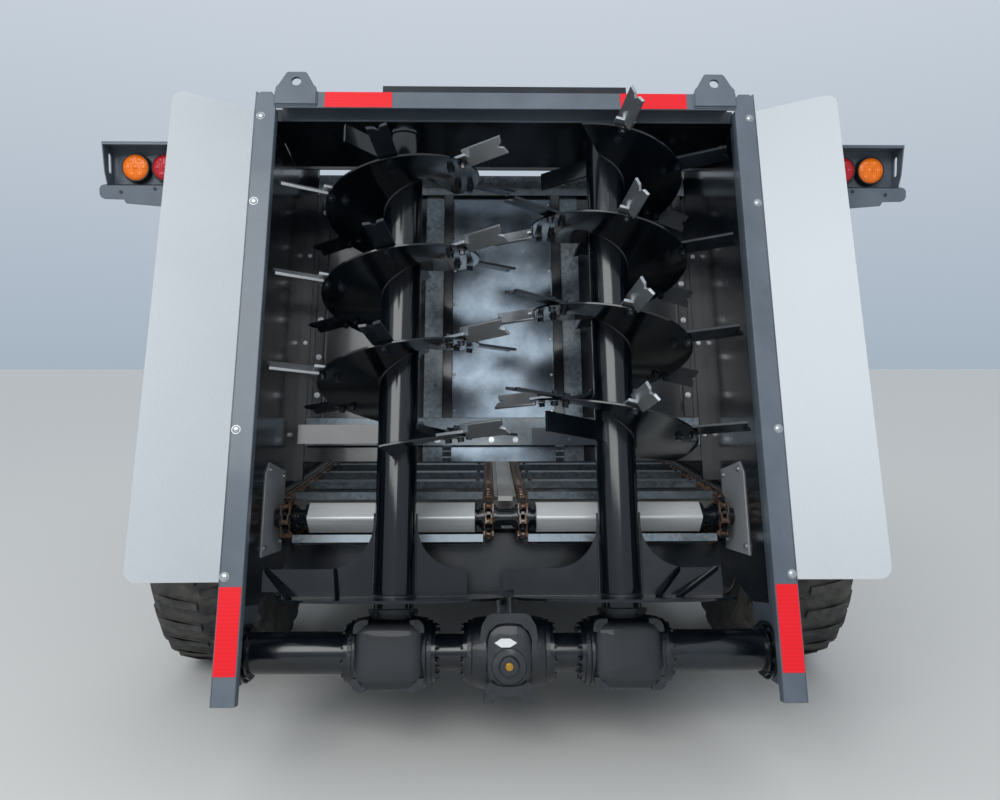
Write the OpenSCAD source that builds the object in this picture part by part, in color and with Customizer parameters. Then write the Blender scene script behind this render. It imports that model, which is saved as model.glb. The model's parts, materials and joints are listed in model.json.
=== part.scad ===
// Towed manure spreader with two vertical beaters behind a moving apron floor.
// Units are mm. The origin is the centre of the drawbar's hitch pin hole, +Y points to the tractor
// and +Z points up. The ground lies hitch_h below the origin.

/* [Machine] */
// Height of the hitch pin hole's middle above the ground
hitch_h = 450; // [380:5:520]
// Distance from the hitch pin to the foot of the rear posts
rear_l = 7600; // [7300:10:8400]
// Length of the drawbar from the hitch pin to the box
tongue_l = 1900; // [1700:10:2100]
// Thickness of the sheet metal
sheet = 8; // [6:1:10]

/* [Rear frame] */
// Width over the two rear posts
frame_w = 2100; // [2090:5:2160]
// Length of a rear post
post_l = 2425; // [2380:5:2500]
// Width of a rear post across the machine
post_w = 87; // [70:1:95]
// Depth of a rear post along the machine
post_d = 290; // [260:5:300]
// Wall of a rear post
post_wall = 8; // [6:1:12]
// Height of the foot of the posts above the ground
post_z = 365; // [330:5:420]
// Forward lean of the rear frame and beaters in degrees
lean = 16.5; // [14:0.5:18]
// Height of the top cross beam
beam_h = 75; // [60:5:90]

/* [Wings] */
// Width of a deflector wing
wing_w = 312; // [250:5:380]
// Sheet of a deflector wing
wing_t = 5; // [3:1:6]
// Height of the wing's lower edge along the post
wing_z = 425; // [380:2:450]
// Angle that a wing swings back, in degrees
wing_a = 24; // [15:1:35]
// Corner radius of a wing
wing_r = 45; // [20:5:60]

/* [Beaters] */
// Distance between the two beater shafts
beater_gap = 920; // [915:5:960]
// Distance of the beater shafts in front of the posts' rear face
beater_n = 340; // [330:5:350]
// Diameter of a beater's tube
pipe_d = 168; // [140:2:190]
// Gap between the two bottom discs
disc_gap = 20; // [12:2:60]
// Length of the shorter paddles on the discs
paddle_short = 296; // [280:2:300]
// Sheet of a beater's bottom disc
disc_t = 10; // [8:1:14]
// Height of the bottom disc along the post
disc_z = 350; // [340:2:380]
// Radius of the flighting
flight_r = 345; // [300:5:360]
// Height at which the left beater's flighting starts, up from the posts' foot
flight_z = 914; // [905:1:930]
// Rise of the flighting in one turn
flight_pitch = 400; // [380:5:420]
// Distance of the flighting's upper end below the top bearing beam
flight_end = 173.5; // [165:0.5:200]
// Thickness of the flighting
flight_t = 10; // [8:1:12]
// Clearance between the knives' tips and the housing walls
knife_gap = 27; // [24:1:42]
// Width of a knife
knife_w = 84; // [60:2:90]
// Thickness of a knife
knife_t = 12; // [8:1:16]

/* [Gearboxes] */
// Height of the cross tubes' middle along the post
gear_z = 148; // [140:2:190]
// Diameter of the outer cross tubes
tube_d = 162; // [140:2:180]
// Diameter of the inner cross tubes
tube_in_d = 142; // [120:2:160]
// Width of a gearbox between its flanges
gearbox_w = 320; // [280:2:330]

/* [Apron] */
// Height of the apron shafts above the ground
apron_z = 850; // [840:2:860]
// Distance of the rear apron shaft from the posts' foot
apron_y = 825; // [815:5:840]
// Pitch radius of the apron sprockets
sprocket_r = 88; // [80:1:92]
// Distance of the outer chains' middle from the housing walls
chain_wall = 67; // [62:1:100]
// Distance of the inner chains from the middle
chain_in_x = 76; // [70:2:100]
// Width of a chain
chain_w = 50; // [40:2:60]
// Height of a chain
chain_h = 28; // [22:1:32]
// Links round a chain's whole loop
links = 144; // [136:4:152]
// Links from one slat to the next
slat_every = 4; // [2:1:6]
// Width of a slat along the machine
slat_w = 62; // [40:2:80]
// Height of a slat
slat_h = 34; // [24:2:40]
// Wall of a slat
slat_wall = 6; // [4:1:8]

/* [Box] */
// Distance from the posts' foot to the rear end of the box's frame
box_rear = 1100; // [1050:10:1200]
// Height of the box's upper edge above the ground
box_top = 2350; // [2200:10:2450]
// Height of the lower edge of the box walls above the ground
box_low = 690; // [680:5:700]
// Width of the rail along the box's upper edge
rail_w = 50; // [40:5:60]

/* [Gate] */
// Distance of the gate in front of the posts' rear face
gate_n = 935; // [930:1:950]
// Sheet of the gate
gate_t = 12; // [8:1:16]
// Height of the gate's lower edge along the post
gate_z = 996; // [985:1:1010]
// Height of the gate
gate_h = 1560; // [1500:10:1600]

/* [Wheels] */
// Outer diameter of a tyre
tyre_d = 1250; // [1200:10:1270]
// Width of a tyre
tyre_w = 500; // [440:10:520]
// Diameter of a rim
rim_d = 590; // [560:5:640]
// Clearance between a tyre and the plane of the posts' outer face
tyre_gap = 95; // [80:1:120]
// Distance of the rear axle from the posts' foot
axle_y = 1420; // [1400:5:1500]
// Distance between the two axles
wheelbase = 1500; // [1400:10:1600]
// Clearance between parts that turn or slide against each other
running = 0.3; // [0.2:0.1:0.5]

/* [Hidden] */

black = "#23272b";
dark_grey = "#4b535b";
silver = "#c9cdd0";
rusty = "#6f6253";
red = "#d8202c";
amber = "#f07a14";
rubber = "#2a2a2b";

half_w = frame_w / 2;
wall_x = half_w - sheet;
post_x = half_w - post_w;
beater_x = beater_gap / 2;
disc_r = (beater_gap - disc_gap) / 2;
knife_r = wall_x - beater_x - knife_gap;
pipe_r = pipe_d / 2;
housing_n = gate_n + 75;
box_front_y = -tongue_l;
apron_rear_y = apron_y - rear_l;
chain_out_x = wall_x - chain_wall;
track_x = half_w + tyre_gap + tyre_w / 2;
apron_front_y = box_front_y - 190;
chain_top = apron_z + sprocket_r;
floor_z = chain_top - chain_h / 2 - 0.5;
axle_z = tyre_d / 2;
sill_x = 430;
sill_w = 100;
sill_h = 120;
// Gap between plates that are welded edge to edge, so that each stays a solid of its own
seam = 0.2;
shield_t = 5;

// World y and z (above the ground) of a point n in front of the posts' rear face and t up the post
function lean_y(n, t) = -rear_l + t * sin(lean) + n * cos(lean);
function lean_z(n, t) = post_z + t * cos(lean) - n * sin(lean);
// Height up the post at which a level plane through the posts' top passes n
function level_t(n, drop = 0) = post_l + n * tan(lean) - drop / cos(lean);

// Places children measured up from the ground
module at_ground() {
    translate([0, 0, -hitch_h])
        children();
}

// Places children in the leaning rear frame: x across, y forward from the posts' rear face, z up the post
module in_lean() {
    translate([0, -rear_l, post_z - hitch_h])
        rotate([-lean, 0, 0])
            children();
}

// A box given by its lowest and highest corners
module block(low, high) {
    translate(low)
        cube([high[0] - low[0], high[1] - low[1], high[2] - low[2]]);
}

// A plate whose outline is drawn in y and z, from x to x + w
module side_plate(points, x, w) {
    translate([x, 0, 0])
        rotate([90, 0, 90])
            linear_extrude(w)
                polygon(points);
}

// A round bar along x
module bar_x(r, x0, x1, y, z, fn = 48) {
    translate([x0, y, z])
        rotate([0, 90, 0])
            cylinder(r = r, h = x1 - x0, $fn = fn);
}

foot_n = 480;
foot_t = 330;
lip_w = 34;
// A post: web plate with a deeper foot for the gear tube, rear flange and its bent lip
module post_shape() {
    side_plate(
        [[0, 0], [foot_n - 60, 40], [foot_n, 100], [foot_n, foot_t], [post_d, foot_t],
         [post_d, level_t(post_d)], [0, post_l]],
        wall_x, sheet);
    translate([0, post_wall, 0])
        rotate([90, 0, 0])
            linear_extrude(post_wall)
                polygon([[post_x, 0], [half_w - 1, 0], [half_w - 1, post_l], [post_x, post_l - 12]]);
    block([post_x, post_wall - 1, 0], [post_x + post_wall, post_wall + lip_w, post_l - beam_h]);
}

module post_right() {
    color(dark_grey) in_lean() post_shape();
}

module post_left() {
    color(dark_grey) in_lean() mirror([1, 0, 0]) post_shape();
}

// Side wall of the beater housing between a post and the gate guide
module housing_shape() {
    side_plate(
        [[post_d, foot_t], [foot_n, foot_t], [housing_n, 560], [housing_n, level_t(housing_n)],
         [post_d, level_t(post_d)]],
        wall_x, sheet);
}

module housing_right() {
    color(black) in_lean() housing_shape();
}

module housing_left() {
    color(black) in_lean() mirror([1, 0, 0]) housing_shape();
}

lug_x = half_w - 170;
lug_w = 170;
lug_h = 150;
// Cross beam on top of the posts, with its two lifting lugs
module top_beam() {
    color(dark_grey) in_lean() {
        difference() {
            block([-post_x, 0, post_l - beam_h], [post_x, 100, post_l]);
            block([-post_x - 1, sheet, post_l - beam_h - 1], [post_x + 1, 100 - sheet, post_l - sheet]);
        }
        for (side = [-1, 1])
            difference() {
                translate([side * lug_x, 0, post_l - beam_h + 10])
                    rotate([90, 0, 0])
                        linear_extrude(14)
                            polygon([[-lug_w / 2, 0], [lug_w / 2, 0], [lug_w / 2, lug_h * 0.55],
                                     [lug_w / 4, lug_h], [-lug_w / 4, lug_h], [-lug_w / 2, lug_h * 0.55]]);
                translate([side * lug_x, 1, post_l - beam_h + lug_h * 0.77])
                    rotate([90, 0, 0])
                        cylinder(r = 20, h = 20, $fn = 40);
            }
    }
}

beater_top = level_t(beater_n, 75);
bearing_t = 60;
cover_x = beater_x + 95;
cover_h = 110;
rail_n = 790;
rail_top = level_t(rail_n) - 59;
flight_turns = (beater_top - flight_end - flight_z) / flight_pitch;
stub_r = 30;
// Cross beam that carries the beaters' top bearings, with the raised cover over them
module bearing_beam() {
    color(black) in_lean() {
        difference() {
            union() {
                block([-wall_x, beater_n - 90, beater_top], [wall_x, beater_n + 90, beater_top + bearing_t]);
                for (side = [-1, 1])
                    translate([side * beater_x, beater_n, beater_top - 22])
                        cylinder(r = 70, h = 23, $fn = 64);
            }
            block([-wall_x + 20, beater_n - 90 + sheet, beater_top + sheet],
                  [wall_x - 20, beater_n + 90 - sheet, beater_top + bearing_t - sheet]);
            for (side = [-1, 1])
                translate([side * beater_x, beater_n, beater_top - 30])
                    cylinder(r = stub_r + running, h = 30 + sheet + 1, $fn = 64);
        }
        block([-cover_x, beater_n - 110, beater_top + bearing_t],
              [cover_x, beater_n + 110, beater_top + bearing_t + cover_h]);
        difference() {
            block([-wall_x, rail_n, rail_top - 80], [wall_x, rail_n + 55, rail_top]);
            block([-wall_x - 1, rail_n + sheet, rail_top - 81], [wall_x + 1, rail_n + 56, rail_top - sheet]);
        }
    }
}

// Wing outline: w from its hinge edge, h up the post, the outer corners rounded
module wing_outline(w, h, r) {
    difference() {
        square([w, h]);
        for (corner = [[w - r, 0, 0], [w - r, h - r, 1]])
            difference() {
                translate([corner[0], corner[1]])
                    square([r, r]);
                translate([w - r, corner[2] == 0 ? r : h - r])
                    circle(r = r, $fn = 64);
            }
    }
}

wing_h = post_l - 80 - wing_z;
module wing_shape() {
    block([half_w, 4, wing_z], [half_w + wing_t, 60, wing_z + wing_h]);
    translate([half_w + wing_t * sin(wing_a), wing_t, wing_z])
        rotate([0, 0, -wing_a])
            rotate([90, 0, 0])
                linear_extrude(wing_t)
                    wing_outline(wing_w, wing_h, wing_r);
}

module wing_right() {
    color(silver) in_lean() wing_shape();
}

module wing_left() {
    color(silver) in_lean() mirror([1, 0, 0]) wing_shape();
}

// Stainless plates on the housing walls beside the outer sprockets
module chain_shields() {
    color(silver) in_lean()
        for (side = [0, 1])
            mirror([side, 0, 0])
                difference() {
                    side_plate([[460, 520], [770, 560], [770, 930], [500, 930], [460, 880]],
                               wall_x - shield_t, shield_t);
                    translate([wall_x - shield_t - 1, 0, 0])
                        shaft_hole();
                }
}

// Hole that the rear apron shaft passes through, in the leaning frame
module shaft_hole() {
    shaft_n = apron_y * cos(lean) - (apron_z - post_z) * sin(lean);
    shaft_t = apron_y * sin(lean) + (apron_z - post_z) * cos(lean);
    bar_x(apron_shaft_r + 2, 0, 7, shaft_n, shaft_t);
}

flange_r = 112;
flange_t = 16;
box_half = gearbox_w / 2;
// Cross tubes that carry the gearboxes between the posts
module gear_tubes() {
    // Columns: from x, to x, radius
    spans = [[box_half, beater_x - box_half, tube_in_d / 2], [beater_x + box_half, wall_x, tube_d / 2]];
    color(black) in_lean()
        for (side = [0, 1], span = spans)
            mirror([side, 0, 0]) {
                bar_x(span[2], span[0], span[1], beater_n, gear_z, 72);
                bar_x(flange_r, span[0], span[0] + flange_t, beater_n, gear_z, 72);
                bar_x(flange_r, span[1] - flange_t, span[1], beater_n, gear_z, 72);
            }
}

neck_r = 86;
neck_top = disc_z - 34;
pad_r = 22;
cover_n = 152;
cover_r = 227;
// Cast bevel gearbox: round body, domed rear cover with four bolt pads, and a neck under the beater
module gearbox_shape(cover_w, cover_h, neck) {
    bar_x(138, -box_half, box_half, 0, 0, 72);
    rotate([90, 0, 0])
        cylinder(r = 128, h = 120, $fn = 72);
    rotate([-90, 0, 0])
        cylinder(r = 118, h = 120, $fn = 72);
    intersection() {
        block([-cover_w / 2, -cover_n, -cover_h / 2], [cover_w / 2, -60, cover_h / 2]);
        translate([0, cover_r - cover_n, 0])
            sphere(r = cover_r, $fn = 96);
    }
    for (side = [-1, 1], level = [-1, 1])
        translate([side * (cover_w / 2 - pad_r - 2), -80, level * (cover_h / 2 - pad_r - 2)])
            rotate([90, 0, 0])
                cylinder(r = pad_r, h = 42, $fn = 32);
    if (neck)
        cylinder(r = neck_r, h = neck_top - gear_z, $fn = 72);
}

module gearbox_at(x, cover_w, cover_h, neck) {
    in_lean()
        translate([x, beater_n, gear_z])
            gearbox_shape(cover_w, cover_h, neck);
}

module gearbox_left() {
    color(dark_grey) gearbox_at(-beater_x, 272, 262, true);
}

module gearbox_right() {
    color(dark_grey) gearbox_at(beater_x, 272, 262, true);
}

input_l = 190;
// Middle gearbox: waisted rear plate, domed cover round the level plug, and the input shaft in front
module gearbox_centre() {
    color(dark_grey) {
        gearbox_at(0, 150, 190, false);
        in_lean()
            translate([0, beater_n, gear_z]) {
                translate([0, -60, 0])
                    rotate([90, 0, 0])
                        linear_extrude(70)
                            polygon([[-112, 60], [-80, 150], [80, 150], [112, 60], [70, -60], [98, -175],
                                     [60, -175], [52, -150], [-52, -150], [-60, -175], [-98, -175],
                                     [-70, -60]]);
                translate([0, -128, -40])
                    rotate([90, 0, 0])
                        cylinder(r1 = 62, r2 = 36, h = 34, $fn = 64);
                rotate([-90, 0, 0])
                    cylinder(r = 28, h = input_l, $fn = 40);
            }
    }
}

paddle_r = wall_x - beater_x - 68;
paddle_high = 335;
paddle_low = 120;
paddle_t = 12;
scoop_r = 180;
overhang_gap = 24;
strut_w = 16;
// Upright paddle on the disc, out to radius r, its upper edge scooped out round the apron's end; where it
// overhangs the disc it stands clear above the other one
module paddle(r) {
    scoop_x = pipe_r + scoop_r + 6;
    rotate([90, 0, 0])
        translate([0, 0, -paddle_t / 2])
            linear_extrude(paddle_t)
                difference() {
                    translate([pipe_r - 4, disc_t - 1])
                        square([r - pipe_r + 4, paddle_high]);
                    translate([scoop_x, paddle_low + scoop_r])
                        circle(r = scoop_r, $fn = 96);
                    translate([scoop_x, paddle_low])
                        square([r, paddle_high]);
                    translate([scoop_x - scoop_r, paddle_low + scoop_r])
                        square([r, paddle_high]);
                    translate([disc_r - 12, 0])
                        square([r, disc_t + overhang_gap]);
                }
}

// Square bar from one point to another
module strut(from, to) {
    d = to - from;
    translate(from)
        rotate([0, acos(d[2] / norm(d)), atan2(d[1], d[0])])
            translate([-strut_w / 2, -strut_w / 2, 0])
                cube([strut_w, strut_w, norm(d)]);
}

// Columns: paddle's angle, its length, its struts as [radius at the top, radius and offset on the disc]
paddles_l = [[190, paddle_r, [[paddle_r - 12, disc_r - 55, 160], [235, 222, 140]]], [10, paddle_short, []]];
paddles_r = [[170, paddle_r - 31, []],
             [350, paddle_short + 99, [[paddle_short + 87, 215, -150], [235, 140, -130]]]];
fins_l = [236, 56];
fins_r = [294, 114];
// Plates on the tube, columns: angle, height, radius
bars_l = [[225, beater_top - 189.5, 330], [180, flight_z + 71, 420]];
bars_r = [[147, beater_top - 189.5, 330], [222, flight_z + 71, 420]];
// A beater's tube, disc, paddles, fins, plates and shaft ends
module beater_shape(paddles, fins, bars) {
    translate([0, 0, disc_z]) {
        cylinder(r = disc_r, h = disc_t, $fn = 180);
        for (p = paddles)
            rotate([0, 0, p[0]]) {
                paddle(p[1]);
                for (b = p[2])
                    strut([b[0], 0, disc_t + paddle_low - 12], [b[1], b[2], disc_t - 2]);
            }
        for (a = fins)
            rotate([0, 0, a])
                block([pipe_r - 4, -paddle_t / 2, disc_t - 1],
                      [disc_r - 60, paddle_t / 2, disc_t + paddle_low]);
    }
    for (bar = bars)
        rotate([0, 0, bar[0]])
            block([pipe_r - 4, -paddle_t / 2, bar[1]], [bar[2], paddle_t / 2, bar[1] + 82]);
    translate([0, 0, disc_z + 1])
        cylinder(r = pipe_r, h = beater_top - 50 - disc_z, $fn = 96);
    translate([0, 0, neck_top + running])
        cylinder(r = neck_r - 6, h = disc_z - neck_top, $fn = 72);
    translate([0, 0, beater_top - 60])
        cylinder(r = stub_r, h = 60 + sheet - 1, $fn = 64);
}

module at_beater(side) {
    in_lean()
        translate([side * beater_x, beater_n, 0])
            children();
}

module beater_left() {
    color(black) at_beater(-1) beater_shape(paddles_l, fins_l, bars_l);
}

module beater_right() {
    color(black) at_beater(1) beater_shape(paddles_r, fins_r, bars_r);
}

flight_in = pipe_r + 1;
flight_steps = 36;
// Columns: hand, angle at which the flighting starts, its lower face there, lift that just seats the knives
flight_l = [1, 265, flight_z, 3.62];
flight_r_side = [-1, 150, flight_z + 20, 4.76];
// Helical flighting as one ribbon round the tube: hand 1 rises anticlockwise, -1 clockwise
module flight_shape(f) {
    hand = f[0];
    count = round(flight_turns * flight_steps);
    points = [
        for (i = [0:count])
            let (a = hand * (f[1] + i * 360 / flight_steps), z = f[2] + i * flight_pitch / flight_steps)
                for (corner = [[flight_in, 0], [flight_r, 0], [flight_r, flight_t], [flight_in, flight_t]])
                    [corner[0] * cos(a), corner[0] * sin(a), z + corner[1]]
    ];
    sides = [
        for (i = [0:count - 1], k = [0:3])
            let (p = 4 * i + k, q = 4 * i + (k + 1) % 4)
                for (tri = [[p, q, q + 4], [p, q + 4, p + 4]])
                    hand > 0 ? tri : [tri[2], tri[1], tri[0]]
    ];
    start = [3, 2, 1, 0];
    finish = [4 * count, 4 * count + 1, 4 * count + 2, 4 * count + 3];
    ends = [
        for (face = [start, finish])
            hand > 0 ? face : [face[3], face[2], face[1], face[0]]
    ];
    polyhedron(points = points, faces = concat(sides, ends), convexity = 12);
}

module flight_left() {
    color(black) at_beater(-1) flight_shape(flight_l);
}

module flight_right() {
    color(black) at_beater(1) rotate([0, 0, 180]) flight_shape(flight_r_side);
}

// The knives stand every 60 degrees; the first one lies at this angle in every turn
knife_first = 25;
knife_step = 60;
knife_in = 236;
knife_tilt = atan(flight_pitch / (2 * PI * 300));
knife_twist = 44;
// A knife: bar on top of the flighting, its outer part turned up on every second one, tip notched
module knife(twist) {
    translate([knife_in, -knife_w / 2, 0])
        cube([flight_r + 28 - knife_in, knife_w, knife_t]);
    translate([0, 0, knife_t / 2])
        rotate([twist, 0, 0])
            difference() {
                translate([flight_r + 5, -knife_w / 2, -knife_t / 2])
                    cube([knife_r - 5 - flight_r - 5, knife_w, knife_t]);
                translate([knife_r, 0, -knife_t])
                    cylinder(r = knife_w / 2.6, h = 2 * knife_t, $fn = 4);
            }
}

// Knives of one beater; odd is 1 where the turned ones are the odd steps
module knives_shape(f, odd) {
    last = f[1] + flight_turns * 360;
    for (k = [0:24])
        let (a = knife_first + k * knife_step)
            if (a > f[1] + 8 && a < last - 8)
                rotate([0, 0, f[0] * a])
                    translate([0, 0, f[2] + (a - f[1]) / 360 * flight_pitch + flight_t + f[3]])
                        rotate([f[0] * knife_tilt, 0, 0])
                            knife(f[0] * (k % 2 == odd ? knife_twist : 0));
}

module knives_left() {
    color(dark_grey) at_beater(-1) knives_shape(flight_l, 1);
}

module knives_right() {
    color(dark_grey) at_beater(1) rotate([0, 0, 180]) knives_shape(flight_r_side, 0);
}

guide_w = 46;
gate_half = wall_x - 14;
bar_d = 26;
bar_x_in = 284;
bar_x_out = wall_x - 102;
// Sliding gate in front of the beaters: sheet, upright bars and two rails
module gate() {
    rail_half = wall_x - guide_w - 8;
    color(silver) in_lean() {
        block([-gate_half, gate_n, gate_z], [gate_half, gate_n + gate_t, gate_z + gate_h]);
        for (x = [-bar_x_out, -bar_x_in, bar_x_in, bar_x_out])
            block([x - 25, gate_n - bar_d, gate_z], [x + 25, gate_n + 1, gate_z + gate_h]);
        for (rail = [[gate_z + 77, 147], [gate_z + gate_h - 60, 60]])
            block([-rail_half, gate_n - bar_d, rail[0]], [rail_half, gate_n + 1, rail[0] + rail[1]]);
    }
}

guide_gap = 0.5;
guide_low = gate_z - 96;
guide_top = level_t(gate_n) + 198;
// Channels on the housing walls that the gate slides in
module gate_guides() {
    color(black) in_lean()
        for (side = [0, 1])
            mirror([side, 0, 0])
                difference() {
                    block([wall_x - guide_w, gate_n - guide_gap - 10, guide_low],
                          [wall_x, gate_n + gate_t + guide_gap + 10, guide_top]);
                    block([wall_x - guide_w - 1, gate_n - guide_gap, guide_low - 1],
                          [wall_x - sheet, gate_n + gate_t + guide_gap, guide_top + 1]);
                }
}

apron_shaft_r = 38;
run_l = apron_front_y - apron_rear_y;
loop_l = 2 * run_l + 2 * PI * sprocket_r;
// Place [y, z, turn] at a distance s along the chain's pitch line, from the rear shaft's top forward
function on_loop(s) =
    let (half_turn = PI * sprocket_r)
    s < run_l ? [apron_rear_y + s, apron_z + sprocket_r, 0] :
    s < run_l + half_turn ? arc_place(apron_front_y, 90 - (s - run_l) / sprocket_r * 180 / PI) :
    s < 2 * run_l + half_turn ? [apron_front_y - (s - run_l - half_turn), apron_z - sprocket_r, 180] :
    arc_place(apron_rear_y, -90 - (s - 2 * run_l - half_turn) / sprocket_r * 180 / PI);
function arc_place(y, a) = [y + sprocket_r * cos(a), apron_z + sprocket_r * sin(a), a - 90];

// Outline of a chain: outer edge scalloped link by link, inner edge smooth
module chain_outline() {
    pitch = loop_l / links;
    inner_r = sprocket_r - chain_h / 2;
    outer = [
        for (i = [0:links - 1], j = [0, 1])
            let (p = on_loop((i + j / 2) * pitch), lift = chain_h / 2 - 5 * j)
                [p[0] - lift * sin(p[2]), p[1] + lift * cos(p[2])]
    ];
    difference() {
        polygon(outer);
        for (y = [apron_rear_y, apron_front_y])
            translate([y, apron_z])
                circle(r = inner_r, $fn = 72);
        translate([apron_rear_y, apron_z - inner_r])
            square([run_l, 2 * inner_r]);
    }
}

module apron_chains() {
    color(rusty) at_ground()
        for (x = [-chain_out_x, -chain_in_x, chain_in_x, chain_out_x])
            translate([x - chain_w / 2, 0, 0])
                rotate([90, 0, 90])
                    linear_extrude(chain_w)
                        chain_outline();
}

slat_gap = 0.3;
slat_x = chain_in_x + chain_w / 2 + slat_gap;
slat_l = chain_out_x - chain_w / 2 - slat_gap - slat_x;
// Slats between the chains: channels with their open side inwards, round the whole loop
module apron_slats() {
    pitch = loop_l / links;
    color(silver) at_ground()
        for (i = [0:slat_every:links - 1], side = [0, 1])
            let (p = on_loop((i + 0.5) * pitch))
                mirror([side, 0, 0])
                    translate([slat_x, p[0], p[1]])
                        rotate([p[2], 0, 0])
                            slat();
}

module slat() {
    difference() {
        translate([0, -slat_w / 2, -6])
            cube([slat_l, slat_w, slat_h]);
        translate([-1, -slat_w / 2 + slat_wall, -7])
            cube([slat_l + 2, slat_w - 2 * slat_wall, slat_h - slat_wall + 1]);
    }
}

sprocket_t = 22;
drum = 104;
drum_round = 69;
drum_turn = 35;
// An apron shaft with its four sprockets; the rear one also has the square wrap tubes
module apron_shaft(y, tubes) {
    translate([0, y, apron_z]) {
        bar_x(apron_shaft_r, -wall_x + 0.5, wall_x - 0.5, 0, 0, 64);
        for (x = [-chain_out_x, -chain_in_x, chain_in_x, chain_out_x]) {
            bar_x(sprocket_r - chain_h / 2 - 0.5, x - sprocket_t / 2, x + sprocket_t / 2, 0, 0, 64);
            bar_x(apron_shaft_r + 18, x - 34, x + 34, 0, 0, 48);
        }
        if (tubes)
            for (side = [0, 1])
                mirror([side, 0, 0])
                    translate([chain_in_x + 62, 0, 0])
                        rotate([90, 0, 90])
                            linear_extrude(chain_out_x - chain_in_x - 152)
                                rotate(drum_turn)
                                    intersection() {
                                        square(drum, center = true);
                                        circle(r = drum_round, $fn = 96);
                                    }
    }
}

module apron_shaft_rear() {
    color(silver) at_ground() apron_shaft(apron_rear_y, true);
}

module apron_shaft_front() {
    color(black) at_ground() apron_shaft(apron_front_y, false);
}

floor_rear_y = apron_rear_y + 130;
floor_front_y = apron_front_y - 120;
joist_h = 90;
joists = 6;
strip_w = 66;
strip_h = 22;
// Floor plate under the apron's upper run, on its cross members, with the bar between the inner chains
module floor() {
    color(silver) at_ground() {
        block([-wall_x + shield_t + 0.3, floor_rear_y, floor_z - 5],
              [wall_x - shield_t - 0.3, floor_front_y, floor_z]);
        block([-strip_w / 2, apron_rear_y + 5, floor_z + seam],
              [strip_w / 2, floor_front_y, floor_z + strip_h]);
        for (i = [0:joists - 1])
            let (y = floor_rear_y + 60 + i * (floor_front_y - floor_rear_y - 120) / (joists - 1))
                block([-wall_x, y - 30, floor_z - joist_h], [wall_x, y + 30, floor_z - 5 - seam]);
    }
}

// World y of the housing's front edge at a height z above the ground
function edge_y(z) = lean_y(housing_n, (z - post_z + housing_n * sin(lean)) / cos(lean));

stakes = 6;
stake_w = 70;
stake_d = 40;
rail_h = 60;
// A box side: sheet with its rear edge on the housing, stakes on the outside and the rail along the top
module box_side_shape() {
    rear_y = edge_y(box_top) + seam;
    side_plate([[edge_y(box_low) + seam, box_low], [box_front_y, box_low],
                [box_front_y, box_top], [rear_y, box_top]],
               wall_x, sheet);
    for (i = [0:stakes - 1])
        let (y = rear_y + 60 + i * (box_front_y - rear_y - 120 - stake_w) / (stakes - 1))
            block([half_w + seam, y, box_low], [half_w + stake_d, y + stake_w, box_top]);
    side_plate([[rear_y, box_top + seam], [box_front_y, box_top + seam], [box_front_y, box_top + rail_h],
                [edge_y(box_top + rail_h) + seam, box_top + rail_h]],
               wall_x, rail_w);
}

module box_side_right() {
    color(black) at_ground() box_side_shape();
}

module box_side_left() {
    color(black) at_ground() mirror([1, 0, 0]) box_side_shape();
}

// Front wall with three stiffeners and a top rail
module box_front() {
    top = box_top + rail_h;
    color(black) at_ground() {
        block([-half_w, box_front_y, box_low], [half_w, box_front_y + sheet, box_top]);
        for (x = [-700, 0, 700])
            block([x - 40, box_front_y + sheet + seam, box_low], [x + 40, box_front_y + 60, box_top]);
        block([-half_w, box_front_y, box_top + seam], [half_w, box_front_y + 70, top]);
    }
}

beams = 5;
box_l = rear_l - tongue_l - box_rear;
cross_h = 90;
sill_low = box_low - cross_h - seam - sill_h;
beam_ys = [for (i = [0:beams - 1]) box_front_y - 60 - i * (box_l - 200) / (beams - 1)];
chassis_rear_y = beam_ys[beams - 1] - 60;
panel_n = 880;
panel_t = 340;
panel_h = 300;
// Two sills, the cross beams that the box stands on, and the panel that closes the end under the apron
module chassis() {
    color(black) {
        at_ground() {
            for (side = [-1, 1])
                block([side * sill_x - sill_w / 2, chassis_rear_y, sill_low],
                      [side * sill_x + sill_w / 2, box_front_y, sill_low + sill_h]);
            for (y = beam_ys)
                block([-half_w - stake_d, y - 40, box_low - cross_h], [half_w + stake_d, y + 40, box_low]);
        }
        in_lean()
            block([-wall_x, panel_n, panel_t], [wall_x, panel_n + sheet, panel_t + panel_h]);
    }
}

axle_rear_y = axle_y - rear_l;
axle_front_y = axle_rear_y + wheelbase;
bogie_y = (axle_rear_y + axle_front_y) / 2;
bogie_gap = 95;
bogie_x = track_x - tyre_w / 2 - bogie_gap;
bogie_z = sill_low - 75;
spindle_r = 40;
beam_w = 90;
// The two rocking beams on their pivots under the sills, and the wheel spindles
module bogie() {
    color(black) at_ground() {
        for (side = [0, 1])
            mirror([side, 0, 0]) {
                bar_x(70, sill_x - 60, bogie_x, bogie_y, bogie_z, 64);
                block([sill_x - 60, bogie_y - 90, bogie_z], [sill_x + 60, bogie_y + 90, sill_low]);
                side_plate(
                    [[axle_rear_y - 90, axle_z + 55], [axle_rear_y - 90, axle_z - 60],
                     [bogie_y - 160, bogie_z - 90], [bogie_y + 160, bogie_z - 90],
                     [axle_front_y + 90, axle_z - 60], [axle_front_y + 90, axle_z + 55],
                     [axle_front_y - 110, axle_z + 55], [bogie_y + 140, bogie_z + 90],
                     [bogie_y - 140, bogie_z + 90], [axle_rear_y + 110, axle_z + 55]],
                    bogie_x - beam_w / 2, beam_w);
                for (y = [axle_rear_y, axle_front_y])
                    bar_x(spindle_r, bogie_x, track_x + 60, y, axle_z, 48);
            }
    }
}

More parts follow.
